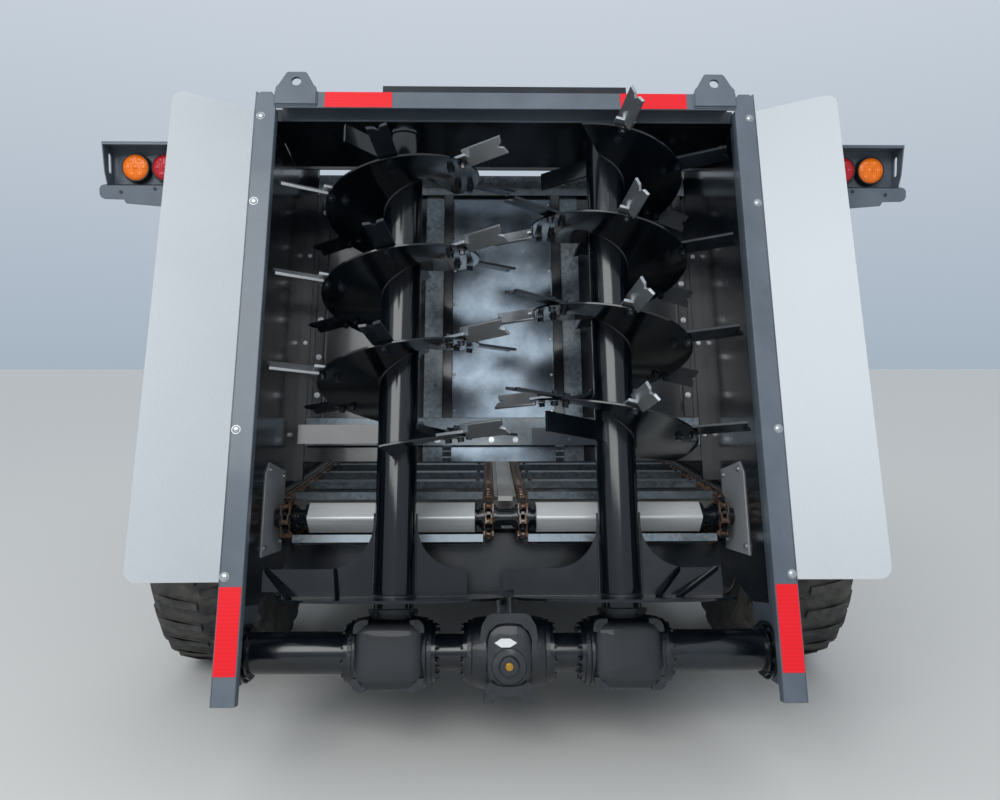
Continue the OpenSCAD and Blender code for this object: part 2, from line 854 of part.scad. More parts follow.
// Outline of half a tyre's section: r from the axle, x from its middle
module tyre_section() {
    half = tyre_w / 2;
    crown = tyre_d / 2;
    bead = rim_d / 2 + running;
    polygon([[bead, -half + 47], [bead + 18, -half + 30], [bead + 60, -half + 6], [bead + 110, -half],
             [crown - 110, -half + 4],
             [crown - 40, -half + 30], [crown - 12, -half + 60], [crown, -half + 120], [crown, half - 120],
             [crown - 12, half - 60], [crown - 40, half - 30], [crown - 110, half - 4], [bead + 110, half],
             [bead + 60, half - 6], [bead + 18, half - 30], [bead, half - 47]]);
}

// A tyre about its own axle, which lies along x
module tyre() {
    rotate([0, 90, 0])
        rotate_extrude($fn = 96)
            tyre_section();
}

rim_in = rim_d / 2 - 12;
rim_lip = rim_d / 2 + 17;
// A rim about its own axle: barrel with two flanges, dished disc, hub and its bolt ring; +x is outside
module rim() {
    half = tyre_w / 2;
    rotate([0, 90, 0]) {
        rotate_extrude($fn = 96)
            polygon([[rim_in, -half + 52], [rim_lip - 2, -half + 22], [rim_lip, -half + 28],
                     [rim_d / 2, -half + 45], [rim_d / 2, half - 45], [rim_lip, half - 28],
                     [rim_lip - 2, half - 22], [rim_in, half - 52]]);
        difference() {
            union() {
                translate([0, 0, 30])
                    cylinder(r = rim_in + 1, h = 12, $fn = 96);
                translate([0, 0, -60])
                    cylinder(r = 95, h = 150, $fn = 64);
                for (a = [0:45:315])
                    rotate([0, 0, a])
                        translate([137, 0, 40])
                            cylinder(r = 13, h = 24, $fn = 6);
            }
            translate([0, 0, -61])
                cylinder(r = spindle_r + running, h = 122, $fn = 64);
            for (a = [22.5:45:337.5])
                rotate([0, 0, a])
                    translate([215, 0, 20])
                        cylinder(r = 26, h = 40, $fn = 32);
        }
    }
}

// Puts a wheel part on an axle; side is -1 for the left and 1 for the right
module on_axle(side, y) {
    at_ground()
        translate([side * track_x, y, axle_z])
            mirror([side < 0 ? 1 : 0, 0, 0])
                children();
}

module tyre_rear_left() {
    color(rubber) on_axle(-1, axle_rear_y) tyre();
}

module rim_rear_left() {
    color(silver) on_axle(-1, axle_rear_y) rim();
}

module tyre_rear_right() {
    color(rubber) on_axle(1, axle_rear_y) tyre();
}

module rim_rear_right() {
    color(silver) on_axle(1, axle_rear_y) rim();
}

module tyre_front_left() {
    color(rubber) on_axle(-1, axle_front_y) tyre();
}

module rim_front_left() {
    color(silver) on_axle(-1, axle_front_y) rim();
}

module tyre_front_right() {
    color(rubber) on_axle(1, axle_front_y) tyre();
}

module rim_front_right() {
    color(silver) on_axle(1, axle_front_y) rim();
}

hitch_bore_r = 20;
hitch_plate = 40;
nose_y = -250;
drawbar_h = 130;
// Drawbar: two rails that close on the nose block, with the cross member in front of the box
module tongue() {
    color(black) at_ground() {
        for (side = [0, 1])
            mirror([side, 0, 0])
                translate([0, 0, sill_low - drawbar_h])
                    linear_extrude(drawbar_h)
                        polygon([[20, nose_y], [110, nose_y], [sill_x + 50, box_front_y + 70],
                                 [sill_x + 50, box_front_y - 300], [sill_x - 50, box_front_y - 300],
                                 [sill_x - 50, box_front_y + 70], [20, nose_y - 200]]);
        block([-110, nose_y - 120, hitch_h - 70], [110, nose_y, hitch_h + 70]);
        block([-sill_x, box_front_y + 80, sill_low - 60], [sill_x, box_front_y + 180, sill_low]);
    }
}

// Hitch clevis with its vertical pin hole, bolted to the drawbar's nose
module hitch_clevis() {
    color(dark_grey)
        difference() {
            union() {
                for (level = [-1, 1])
                    translate([0, 0, level * 45 - hitch_plate / 2]) {
                        cylinder(r = 52, h = hitch_plate, $fn = 72);
                        translate([-52, nose_y + 20, 0])
                            cube([104, -nose_y - 20, hitch_plate]);
                    }
                block([-90, nose_y, -65], [90, nose_y + 35, 65]);
            }
            translate([0, 0, -80])
                cylinder(r = hitch_bore_r, h = 160, $fn = 72);
        }
}

jack_x = -460;
jack_y = -1100;
// Parking jack beside the drawbar, its foot on the ground
module jack() {
    color(dark_grey) at_ground()
        translate([jack_x, jack_y, 0]) {
            cylinder(r = 110, h = 12, $fn = 64);
            block([-32, -32, 10], [32, 32, 400]);
            block([-42, -42, 330], [42, 42, 860]);
            bar_x(10, -150, -30, 0, 820, 24);
            block([40, -60, sill_low - 110], [jack_reach, 60, sill_low - 20]);
        }
}
// Distance from the jack's middle to the drawbar rail beside it
rail_slope = (sill_x + 50 - 110) / (box_front_y + 70 - nose_y);
jack_reach = -jack_x - (110 + (jack_y - 60 - nose_y) * rail_slope) - 0.5;

// Middle of the driveline: it starts at the input shaft's tilted end
drive_z = lean_z(beater_n + input_l, gear_z) - 20;
drive_y = lean_y(beater_n + input_l, gear_z) + 28 * sin(lean) + running;
drive_end = box_front_y + 80;
pto_r = 17.5;
pto_l = 95;
// Driveline from the middle gearbox to its front bearing under the drawbar's cross member
module driveline() {
    color(dark_grey) at_ground()
        translate([0, drive_y, drive_z]) {
            rotate([-90, 0, 0]) {
                cylinder(r = 52, h = 110, $fn = 48);
                cylinder(r = 38, h = drive_end - drive_y, $fn = 48);
                cylinder(r = pto_r, h = drive_end - drive_y + 100 + pto_l, $fn = 48);
            }
            block([-70, drive_end - drive_y - 1, -56],
                  [70, drive_end - drive_y + 100, sill_low - 60 - drive_z]);
        }
}

lamp_z = 2369;
lamp_r = 60;
lamp_y = 640;
bar_end = half_w + 640;
lamp_xs = [half_w + 500, half_w + 376];
// Lamp boxes on their arms, one at each side behind the wings
module lamp_brackets() {
    color(dark_grey) at_ground()
        for (side = [0, 1])
            mirror([side, 0, 0])
                translate([0, lamp_y - rear_l, 0]) {
                    block([half_w, 60, lamp_z - 140], [bar_end, 66, lamp_z - 75]);
                    block([half_w, 0, lamp_z - 140], [bar_end - 60, 66, lamp_z - 134]);
                    block([half_w + 60, 60, lamp_z - 80], [bar_end - 30, 66, lamp_z + 92]);
                    block([half_w + 60, -30, lamp_z + 86], [bar_end - 30, 66, lamp_z + 92]);
                    block([bar_end - 36, -30, lamp_z - 80], [bar_end - 30, 66, lamp_z + 92]);
                }
}

module lamp_pair(x) {
    at_ground()
        for (side = [-1, 1])
            translate([side * x, lamp_y - rear_l + 60, lamp_z])
                rotate([90, 0, 0])
                    cylinder(r = lamp_r, h = 32, $fn = 64);
}

module amber_lamps() {
    color(amber) lamp_pair(lamp_xs[0]);
}

module red_lamps() {
    color(red) lamp_pair(lamp_xs[1]);
}

strip_t = 2;
strip_low = 102;
strip_high = 408;
// Red reflective strips on the posts' feet and on the top beam
module reflectors() {
    color(red) in_lean()
        for (side = [0, 1])
            mirror([side, 0, 0]) {
                block([post_x + 4, -strip_t, strip_low], [half_w - 4, 0, strip_high]);
                block([lug_x - 400, -strip_t, post_l - beam_h + 2], [lug_x - 120, 0, post_l - 2]);
            }
}

chassis();
bogie();
tongue();
hitch_clevis();
jack();
driveline();
box_side_left();
box_side_right();
box_front();
floor();
post_left();
post_right();
housing_left();
housing_right();
top_beam();
bearing_beam();
wing_left();
wing_right();
chain_shields();
gear_tubes();
gearbox_left();
gearbox_right();
gearbox_centre();
beater_left();
flight_left();
knives_left();
beater_right();
flight_right();
knives_right();
gate();
gate_guides();
apron_chains();
apron_slats();
apron_shaft_rear();
apron_shaft_front();
lamp_brackets();
amber_lamps();
red_lamps();
reflectors();
tyre_rear_left();
rim_rear_left();
tyre_rear_right();
rim_rear_right();
tyre_front_left();
rim_front_left();
tyre_front_right();
rim_front_right();
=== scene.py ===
# %% [markdown]
# # A manure spreader with two upright beaters, seen from behind
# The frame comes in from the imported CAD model: posts, beaters, gearboxes, apron, box, drawbar and
# wheels already stand where they belong. This lesson dresses them: it gives every node the finish
# that the real metal has, and adds the small parts that a quick stand-in lacks.

# %% Load the frame
import json
import math

import bmesh
import bpy
from mathutils import Matrix, Vector


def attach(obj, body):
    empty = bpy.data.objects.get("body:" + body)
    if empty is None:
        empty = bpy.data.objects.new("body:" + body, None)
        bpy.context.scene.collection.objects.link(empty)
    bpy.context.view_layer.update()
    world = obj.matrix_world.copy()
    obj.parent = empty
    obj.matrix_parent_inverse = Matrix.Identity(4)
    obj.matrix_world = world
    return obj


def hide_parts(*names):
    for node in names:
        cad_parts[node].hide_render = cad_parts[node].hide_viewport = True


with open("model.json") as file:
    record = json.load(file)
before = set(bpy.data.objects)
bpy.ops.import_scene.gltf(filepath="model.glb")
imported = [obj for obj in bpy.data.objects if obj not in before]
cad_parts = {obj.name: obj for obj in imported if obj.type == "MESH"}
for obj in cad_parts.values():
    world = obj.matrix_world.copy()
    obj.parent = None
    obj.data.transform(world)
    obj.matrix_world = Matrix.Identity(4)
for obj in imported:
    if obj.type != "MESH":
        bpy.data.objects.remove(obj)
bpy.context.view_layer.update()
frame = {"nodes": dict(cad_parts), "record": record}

# %% [markdown]
# ## The camera
# A wide phone lens stood 2.6 m behind the machine at eye height, tipped a little down. Fitting it
# to the rear frame in the picture gave a focal length of 753 pixels on a picture 1000 wide, so the
# lens is 753 / 1000 of a 36 mm sensor. It comes first, so that every trial render already has it.

# %% Camera at the photograph's viewing angle
FOCAL_PX, PICTURE_PX, SENSOR = 753.0, 1000.0, 36.0
TIPPED_DOWN, TURNED_RIGHT = 3.65, 1.03
camera_data = bpy.data.cameras.new("camera")
camera_data.sensor_width = SENSOR
camera_data.lens = SENSOR * FOCAL_PX / PICTURE_PX
camera_data.clip_end = 200.0
camera = bpy.data.objects.new("camera", camera_data)
bpy.context.scene.collection.objects.link(camera)
camera.location = (-0.085, -10.16, 1.15)
camera.rotation_euler = (math.radians(90 - TIPPED_DOWN), 0.0, math.radians(-TURNED_RIGHT))
bpy.context.scene.camera = camera
print("lens", round(camera_data.lens, 2), "mm")

# %% [markdown]
# ## Colours and nodes
# Colours are picked as sRGB hex values, as on a paint card, but Blender mixes light in linear
# numbers, so one function converts them. Another adds one node with its settings and links, and
# every material below is built from it. A node that is fed to a socket passes on its first output:
# a noise's factor, a Voronoi pattern's distance, or a mixed colour.

# %% Helpers for materials
def linear(hex_code):
    """sRGB hex to the linear RGBA that Blender's shaders use."""
    channels = [int(hex_code[i:i + 2], 16) / 255 for i in (1, 3, 5)]
    return (*[c / 12.92 if c <= 0.04045 else ((c + 0.055) / 1.055) ** 2.4 for c in channels], 1.0)


def feed(tree, socket, value):
    """Links a node or a socket to another socket, or sets the socket to a number or a hex colour."""
    if isinstance(value, bpy.types.Node):
        value = value.outputs[0]
    if isinstance(value, bpy.types.NodeSocket):
        tree.links.new(value, socket)
    else:
        socket.default_value = linear(value) if isinstance(value, str) else value


def node(tree, kind, inputs=None, **settings):
    """Adds one node: settings are its properties, inputs are what its sockets are fed with."""
    made = tree.nodes.new("ShaderNode" + kind)
    for key, value in settings.items():
        setattr(made, key, value)
    for key, value in (inputs or {}).items():
        feed(tree, made.inputs[key], value)
    return made


def surface(tree, shader, **values):
    """Feeds the shader's sockets, which are named as Base_Color or Roughness."""
    for key, value in values.items():
        feed(tree, shader.inputs[key.replace("_", " ")], value)


def start(name, **shader):
    """A new material: its tree, its shader with plain values set, and its Object coordinates."""
    material = bpy.data.materials.new(name)
    material.use_nodes = True
    tree = material.node_tree
    principled = tree.nodes["Principled BSDF"]
    surface(tree, principled, **shader)
    coords = tree.nodes.new("ShaderNodeTexCoord").outputs["Object"]
    return material, tree, principled, coords


# %% [markdown]
# ## Black gloss enamel
# The frame is sprayed with a gloss enamel over folded sheet. To the eye that is a nearly black
# colour under a clear, slightly wavy skin: broad soft reflections, a fine orange peel of about
# 5 mm, and a thin film of road dust that makes the shine uneven. The peel is a small bump and the
# dust is a slow noise that lifts both colour and roughness.

# %% Black gloss enamel
def black_enamel(name, colour, dusty, shine, peel):
    material, tree, shader, coords = start(name, IOR=1.5, Coat_Weight=0.25, Coat_Roughness=0.08)
    slow = node(tree, "TexNoise", {"Vector": coords, "Scale": 3.1, "Detail": 5.0, "Roughness": 0.6})
    fine = node(tree, "TexNoise", {"Vector": coords, "Scale": 190.0, "Detail": 2.0})
    dust = node(tree, "MapRange", {"Value": slow, "From Min": 0.42, "From Max": 0.75})
    mix = node(tree, "MixRGB", {"Fac": dust, "Color1": colour, "Color2": dusty})
    rough = node(tree, "MapRange", {"Value": slow, "From Min": 0.3, "From Max": 0.75,
                                    "To Min": shine, "To Max": shine + 0.16})
    skin = node(tree, "Bump", {"Height": fine, "Strength": peel, "Distance": 0.0006})
    surface(tree, shader, Base_Color=mix, Roughness=rough, Normal=skin)
    return material


frame_black = black_enamel("gloss_enamel_black", "#0a1017", "#18212a", 0.15, 0.2)
beater_black = black_enamel("gloss_enamel_beater", "#060a0f", "#0f161d", 0.09, 0.15)
knife_black = black_enamel("gloss_enamel_knife", "#12181e", "#252d35", 0.18, 0.25)
post_grey = black_enamel("satin_enamel_grey", "#525c66", "#636d77", 0.32, 0.3)
print("enamels:", frame_black.name, beater_black.name, knife_black.name, post_grey.name)

# %% [markdown]
# ## Painted castings
# The gearboxes are grey iron cast in sand, sprayed black. The sand leaves grains of 2 to 3 mm that
# the paint only rounds off, so the same black looks sparkling and rough here. A noise of that size
# drives the bump, and a coarser one adds the swells of the mould.

# %% Enamel over rough casting
cast_black, tree, shader, coords = start("enamel_on_sand_casting", Base_Color="#10161c", IOR=1.5,
                                         Roughness=0.24, Coat_Weight=0.3)
grain = node(tree, "TexNoise", {"Vector": coords, "Scale": 330.0, "Detail": 3.0, "Roughness": 0.6})
swell = node(tree, "TexNoise", {"Vector": coords, "Scale": 26.0, "Detail": 2.0})
both = node(tree, "MixRGB", {"Fac": 0.35, "Color1": grain, "Color2": swell})
skin = node(tree, "Bump", {"Height": both, "Strength": 0.75, "Distance": 0.004})
surface(tree, shader, Normal=skin)
print("casting:", cast_black.name)

# %% [markdown]
# ## Brushed stainless sheet
# The wings and chain shields are bare stainless with a brushed mill face. The brushing runs up the
# sheet, so a noise about 3 mm across and stretched along the height varies colour and roughness.
# Real brush marks are finer, and are drawn this coarse so that they show. A slow cloudiness keeps
# a large pale sheet from looking like paper.

# %% Brushed stainless sheet
def brushed(name, colour, streak, rough, metallic, scale, stretch):
    material, tree, shader, coords = start(name, Metallic=metallic)
    place = node(tree, "Mapping", {"Vector": coords, "Scale": stretch})
    lines = node(tree, "TexNoise", {"Vector": place, "Scale": scale, "Detail": 3.0})
    cloud = node(tree, "TexNoise", {"Vector": coords, "Scale": 2.2, "Detail": 4.0})
    both = node(tree, "MixRGB", {"Fac": 0.5, "Color1": lines, "Color2": cloud})
    tone = node(tree, "MapRange", {"Value": both, "From Min": 0.35, "From Max": 0.65})
    mix = node(tree, "MixRGB", {"Fac": tone, "Color1": streak, "Color2": colour})
    worn = node(tree, "MapRange", {"Value": both, "From Min": 0.3, "From Max": 0.7,
                                   "To Min": rough - 0.06, "To Max": rough + 0.08})
    skin = node(tree, "Bump", {"Height": lines, "Strength": 0.12, "Distance": 0.0004})
    surface(tree, shader, Base_Color=mix, Roughness=worn, Normal=skin)
    return material


stainless = brushed("brushed_stainless", "#c2c6c9", "#b8bcc0", 0.5, 0.25, 320.0, (1.0, 1.0, 0.03))
# Painted reflection: the wrap steel's near-white colour with little metal keeps the polished tubes bright
# in the shade under the beaters.
bright_steel = brushed("polished_wrap_steel", "#eff1ef", "#dde0e0", 0.34, 0.2, 260.0, (0.03, 1.0, 1.0))
zinc = brushed("zinc_plated_steel", "#c9cdd0", "#a9adb0", 0.3, 0.85, 300.0, (1.0, 1.0, 1.0))
print("bare metals:", stainless.name, bright_steel.name, zinc.name)

# %% [markdown]
# ## Gate sheet and galvanised strips
# The gate is a smooth sheet that mirrors the beaters in soft, wavy patches. The waves come from a
# slow bump, about 25 cm from crest to crest. A second noise paints pale and dark reflection clouds
# into the sheet's colour, and also varies its roughness. Galvanised steel freezes into crystals of
# 10 to 20 mm, each with its own tone, which is what a Voronoi pattern draws.

# %% Gate sheet and galvanised steel
gate_steel, tree, shader, coords = start("wavy_mill_sheet", Metallic=0.9)
wave = node(tree, "TexNoise", {"Vector": coords, "Scale": 4.0, "Detail": 1.0})
# Painted reflection: this noise lays pale and dark cloudy patches into the sheet's colour in place of
# mirrored sky and beaters; it also sets the roughness.
painted_reflection_clouds = node(tree, "TexNoise", {"Vector": coords, "Scale": 7.0, "Detail": 6.0, "Roughness": 0.65})
tone = node(tree, "MapRange", {"Value": painted_reflection_clouds, "From Min": 0.35, "From Max": 0.7})
mix = node(tree, "MixRGB", {"Fac": tone, "Color1": "#4f5962", "Color2": "#737e88"})
matte = node(tree, "MapRange", {"Value": painted_reflection_clouds, "To Min": 0.14, "To Max": 0.34})
skin = node(tree, "Bump", {"Height": wave, "Strength": 0.3, "Distance": 0.01})
surface(tree, shader, Base_Color=mix, Roughness=matte, Normal=skin)

galvanised, tree, shader, coords = start("galvanised_spangle", Metallic=0.8)
crystal = node(tree, "TexVoronoi", {"Vector": coords, "Scale": 62.0})
streak = node(tree, "TexNoise", {"Vector": coords, "Scale": 5.0, "Detail": 5.0})
grey = node(tree, "MixRGB", {"Fac": crystal.outputs["Color"], "Color1": "#5b666e", "Color2": "#858f96"})
soil = node(tree, "MapRange", {"Value": streak, "From Min": 0.5, "From Max": 0.8, "To Max": 0.6})
mix = node(tree, "MixRGB", {"Fac": soil, "Color1": grey, "Color2": "#6f6a60"})
matte = node(tree, "MapRange", {"Value": crystal.outputs["Color"], "To Min": 0.3, "To Max": 0.5})
surface(tree, shader, Base_Color=mix, Roughness=matte)
print("sheet metals:", gate_steel.name, galvanised.name)

# %% [markdown]
# ## Rusty chain
# The apron chains are bare carbon steel that has started to rust where it is not rubbed. A noise
# of about 20 mm chooses between rubbed grey steel and brown rust, and the rust is rough while the
# steel still shines.

# %% Rusty chain steel
rusty_steel, tree, shader, coords = start("rusting_chain_steel")
patch = node(tree, "TexNoise", {"Vector": coords, "Scale": 48.0, "Detail": 6.0, "Roughness": 0.7})
rust = node(tree, "MapRange", {"Value": patch, "From Min": 0.44, "From Max": 0.6})
mix = node(tree, "MixRGB", {"Fac": rust, "Color1": "#5d5853", "Color2": "#79543a"})
matte = node(tree, "MapRange", {"Value": rust, "To Min": 0.32, "To Max": 0.85})
bare = node(tree, "MapRange", {"Value": rust, "To Min": 0.85, "To Max": 0.1})
skin = node(tree, "Bump", {"Height": patch, "Strength": 0.4, "Distance": 0.002})
surface(tree, shader, Base_Color=mix, Roughness=matte, Metallic=bare, Normal=skin)
print("chain:", rusty_steel.name)

# %% [markdown]
# ## Lamp lenses and reflective tape
# A signal lens is coloured polycarbonate with small moulded domes that spread the light, 9 mm
# apart. A Voronoi pattern with no randomness gives that regular grid. Reflective tape has the same
# idea at 4 mm, under a clear film.

# %% Lenses and tape
def moulded_lens(name, colour, deep, pitch, depth, rough):
    material, tree, shader, coords = start(name, IOR=1.58, Roughness=rough, Specular_IOR_Level=0.3)
    domes = node(tree, "TexVoronoi", {"Vector": coords, "Scale": 1000.0 / pitch, "Randomness": 0.0})
    near = node(tree, "MapRange", {"Value": domes, "From Min": 0.1, "From Max": 0.6})
    mix = node(tree, "MixRGB", {"Fac": near, "Color1": colour, "Color2": deep})
    skin = node(tree, "Bump", {"Height": domes, "Strength": 0.5, "Distance": depth}, invert=True)
    surface(tree, shader, Base_Color=mix, Normal=skin)
    return material


amber_lens = moulded_lens("amber_polycarbonate", "#ff8a1c", "#ee6c0e", 9.0, 0.002, 0.2)
red_lens = moulded_lens("red_polycarbonate", "#d8323c", "#a4141f", 9.0, 0.002, 0.2)
red_tape = moulded_lens("reflective_film", "#fa1c28", "#e41420", 4.0, 0.0003, 0.28)
print("lenses:", amber_lens.name, red_lens.name, red_tape.name)

# %% [markdown]
# ## Dusty tyres, painted rims and apron boards
# Tyre rubber is a carbon black that dust from the yard turns grey, most of all on the tread. The
# rims have a silver enamel, and the boards under the apron are a worn pale polymer sheet.

# %% Rubber, rims and boards
rubber, tree, shader, coords = start("dusty_tyre_rubber", IOR=1.5)
clay = node(tree, "TexNoise", {"Vector": coords, "Scale": 9.0, "Detail": 6.0, "Roughness": 0.65})
film = node(tree, "MapRange", {"Value": clay, "From Min": 0.35, "From Max": 0.7})
mix = node(tree, "MixRGB", {"Fac": film, "Color1": "#26262a", "Color2": "#5c5953"})
grit = node(tree, "TexNoise", {"Vector": coords, "Scale": 240.0, "Detail": 2.0})
skin = node(tree, "Bump", {"Height": grit, "Strength": 0.3, "Distance": 0.001})
matte = node(tree, "MapRange", {"Value": clay, "To Min": 0.6, "To Max": 0.9})
surface(tree, shader, Base_Color=mix, Roughness=matte, Normal=skin)

rim_silver = black_enamel("silver_enamel", "#b9bcbe", "#9d9c97", 0.3, 0.2)
board = black_enamel("worn_polymer_board", "#c3c4c0", "#a19d93", 0.5, 0.3)

FINISH = {
    "black_paint": frame_black, "grey_paint": post_grey, "cast_paint": cast_black,
    "beater_paint": beater_black, "knife_steel": knife_black, "stainless": stainless,
    "gate_sheet": gate_steel, "galvanised": galvanised, "floor_board": board,
    "bright_steel": bright_steel, "chain_steel": rusty_steel, "amber_lens": amber_lens,
    "red_lens": red_lens, "red_reflector": red_tape, "tyre": rubber, "rim_paint": rim_silver,
}
for part in frame["record"]["subparts"]:
    carried = frame["nodes"][part["node"]]
    for material_slot in carried.material_slots:
        material_slot.material = FINISH[part["material_slot"]]

# %% [markdown]
# ## Placing pieces
# Sizes are written in millimetres, in the two frames that the machine itself has: the ground frame,
# with y forward, and the frame of the rear posts, which lean forward by 16.5 degrees. There n is the
# distance forward from the posts' rear face and t the height up the post. Each piece is modelled in
# one of them and carried into metres, so that its object stays at the origin, unturned.

# %% Frames and a function that finishes a piece
LEAN = math.radians(16.5)
GROUND_Z, POST_FOOT = -0.45, (0, -7.6, 0.365 - 0.45)
MM = Matrix.Scale(0.001, 4)
GROUND = Matrix.Translation((0, 0, GROUND_Z)) @ MM
POSTS = Matrix.Translation(POST_FOOT) @ Matrix.Rotation(-LEAN, 4, "X") @ MM


def finish_piece(name, bm, place, material, body, replaces=(), smooth=35.0, bevel=0.0):
    """Carries the mesh into metres, shades it, and hangs it on its body."""
    bmesh.ops.transform(bm, matrix=place, verts=bm.verts)
    bmesh.ops.recalc_face_normals(bm, faces=bm.faces)
    mesh = bpy.data.meshes.new(name)
    bm.to_mesh(mesh)
    bm.free()
    piece = bpy.data.objects.new(name, mesh)
    bpy.context.scene.collection.objects.link(piece)
    mesh.materials.append(material)
    mesh.shade_smooth()
    mesh.set_sharp_from_angle(angle=math.radians(smooth))
    if bevel:
        rounding = piece.modifiers.new("edges", "BEVEL")
        rounding.width = bevel
        rounding.segments = 2
        rounding.limit_method = "ANGLE"
    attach(piece, body)
    if replaces:
        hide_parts(*replaces)
    return piece


# %% Small shapes used again and again
def polar(r, degrees):
    """A point on a circle."""
    return r * math.cos(math.radians(degrees)), r * math.sin(math.radians(degrees))


def turned(degrees):
    """A turn about the upright axis."""
    return Matrix.Rotation(math.radians(degrees), 4, "Z")


def rod(bm, r, low, high, sides=24, r_top=None):
    """A cylinder or cone between two points."""
    low, high = Vector(low), Vector(high)
    turn = (high - low).to_track_quat("Z", "Y").to_matrix().to_4x4()
    made = bmesh.ops.create_cone(bm, cap_ends=True, segments=sides, radius1=r,
                                 radius2=r if r_top is None else r_top, depth=(high - low).length)
    bmesh.ops.transform(bm, matrix=Matrix.Translation((low + high) / 2) @ turn, verts=made["verts"])
    return made["verts"]


def block(bm, low, high):
    """A box between any two opposite corners."""
    made = bmesh.ops.create_cube(bm, size=1.0)["verts"]
    size = [abs(b - a) for a, b in zip(low, high)]
    shape = Matrix.Translation((Vector(low) + Vector(high)) / 2) @ Matrix.Diagonal((*size, 1.0))
    bmesh.ops.transform(bm, matrix=shape, verts=made)


def plate(bm, points, step):
    """A flat outline pushed along a vector into a plate."""
    face = bm.faces.new([bm.verts.new(p) for p in points])
    pushed = bmesh.ops.extrude_face_region(bm, geom=[face])
    moved = [v for v in pushed["geom"] if isinstance(v, bmesh.types.BMVert)]
    bmesh.ops.translate(bm, vec=step, verts=moved)
    return list(face.verts) + moved


# %% More small shapes: bolts and rings
def bolt(bm, point, out, r, h):
    """A hexagon head on its washer, standing out along a direction."""
    point, out = Vector(point), Vector(out).normalized()
    washer = rod(bm, r * 1.6, point - out * 0.5, point + out * 2.5, 12)
    return washer + rod(bm, r * 1.12, point + out * 2.5, point + out * (2.5 + h), 6)


def dome(bm, point, out, r, h, rings=4, sides=16):
    """A round head, such as a carriage bolt's."""
    made = bmesh.ops.create_uvsphere(bm, u_segments=sides, v_segments=2 * rings, radius=1.0)["verts"]
    turn = Vector(out).to_track_quat("Z", "Y").to_matrix().to_4x4()
    shape = Matrix.Translation(point) @ turn @ Matrix.Diagonal((r, r, h, 1.0))
    bmesh.ops.transform(bm, matrix=shape, verts=made)


def ring_of(bm, points):
    """The vertices and edges of a closed loop through some points."""
    verts = [bm.verts.new(p) for p in points]
    return verts, [bm.edges.new((v, verts[(i + 1) % len(verts)])) for i, v in enumerate(verts)]


def lathe(bm, profile, centre, axis, sides):
    """Spins (radius, height) points about an axis through a centre into a closed ring or solid."""
    turn = Matrix.Translation(centre) @ Vector(axis).to_track_quat("Z", "Y").to_matrix().to_4x4()
    verts, edges = ring_of(bm, [turn @ Vector((r, 0, z)) for r, z in profile])
    bmesh.ops.spin(bm, geom=verts + edges, cent=centre, axis=Vector(axis), angle=2 * math.pi,
                   steps=sides, use_merge=True)
    bmesh.ops.remove_doubles(bm, verts=bm.verts, dist=0.01)


# %% [markdown]
# ## Bolts on the posts
# Four zinc-plated carriage bolts hold each wing's hinge leg to the post. Their flat domes catch the
# light as white dots down the grey flange, so each is a squashed sphere on a thin washer.

# %% Carriage bolts down the posts
POST_BOLTS = [(1022, 2310), (1025, 1923), (1028, 984), (1031, 444)]
bm = bmesh.new()
for side in (-1, 1):
    for x, t in POST_BOLTS:
        rod(bm, 17, (side * x, 0.2, t), (side * x, -1.5, t), 24)
        dome(bm, (side * x, -1.5, t), (0, -1, 0), 15, 7)
finish_piece("post_bolts", bm, POSTS, zinc, "root")
print("bolts on the posts:", 2 * len(POST_BOLTS))

# %% [markdown]
# ## Flighting
# Real flighting is a plate pulled into a screw, so its surface is smooth and its outer edge is one
# clean line. Spin does this directly: a small rectangle turns about the tube's axis and climbs a
# little at every step. The same tool, with a small wedge as its section, lays the weld bead in the
# corner.

# %% Flighting and its weld beads
PITCH, TURNS, STEPS = 400.0, 3.4, 60
BEATER_X, BEATER_N = 460.0, 340
BEATERS = {
    "left": dict(x=-BEATER_X, hand=1, turned=0.0, start=265.0, low=914.0, lift=3.62, odd=1),
    "right": dict(x=BEATER_X, hand=-1, turned=180.0, start=150.0, low=934.0, lift=4.76, odd=0),
}
for b in BEATERS.values():
    # from a beater's own axes, with z up its tube, to metres
    b["place"] = POSTS @ (Matrix.Translation((b["x"], BEATER_N, 0)) @ turned(b["turned"]))


def climb(bm, corners, b, low):
    """Spins a closed outline of (radius, height) points into a screw."""
    turn = turned(b["hand"] * b["start"])
    verts = [bm.verts.new(turn @ Vector((r, 0, low + z))) for r, z in corners]
    face = bm.faces.new(verts)
    steps = round(TURNS * STEPS)
    bmesh.ops.spin(bm, geom=[face], cent=(0, 0, 0), axis=(0, 0, 1), dvec=(0, 0, PITCH * TURNS / steps),
                   angle=b["hand"] * TURNS * 2 * math.pi, steps=steps, use_duplicate=False)


for side, b in BEATERS.items():
    bm = bmesh.new()
    climb(bm, [(85, 0.3), (343.5, 0.3), (345, 1.8), (345, 8.2), (343.5, 9.7), (85, 9.7)], b, b["low"])
    finish_piece("flighting_" + side, bm, b["place"], beater_black, "beater_" + side,
                 replaces=["flight_" + side], smooth=40)
    bm = bmesh.new()
    for base, sign in ((b["low"] + 9.8, 1), (b["low"] + 0.2, -1)):
        climb(bm, [(84.6, 0), (91.5, 0), (90, sign * 4.5), (84.6, sign * 7)], b, base)
    finish_piece("weld_beads_" + side, bm, b["place"], cast_black, "beater_" + side,
                 smooth=60)
    print("flighting", side, "with", round(TURNS * STEPS), "steps")

# %% [markdown]
# ## Beater tubes, discs and paddles
# Each beater is a thick tube on a round disc. Two upright paddles throw the manure that falls on
# the disc; their upper edge is scooped out to pass under the apron's end, and square struts prop
# the long ones. Flat plates low and high on the tube keep strings from wrapping. Each paddle below
# has its angle, its reach and its struts, and each flat plate its angle, its height and its reach.

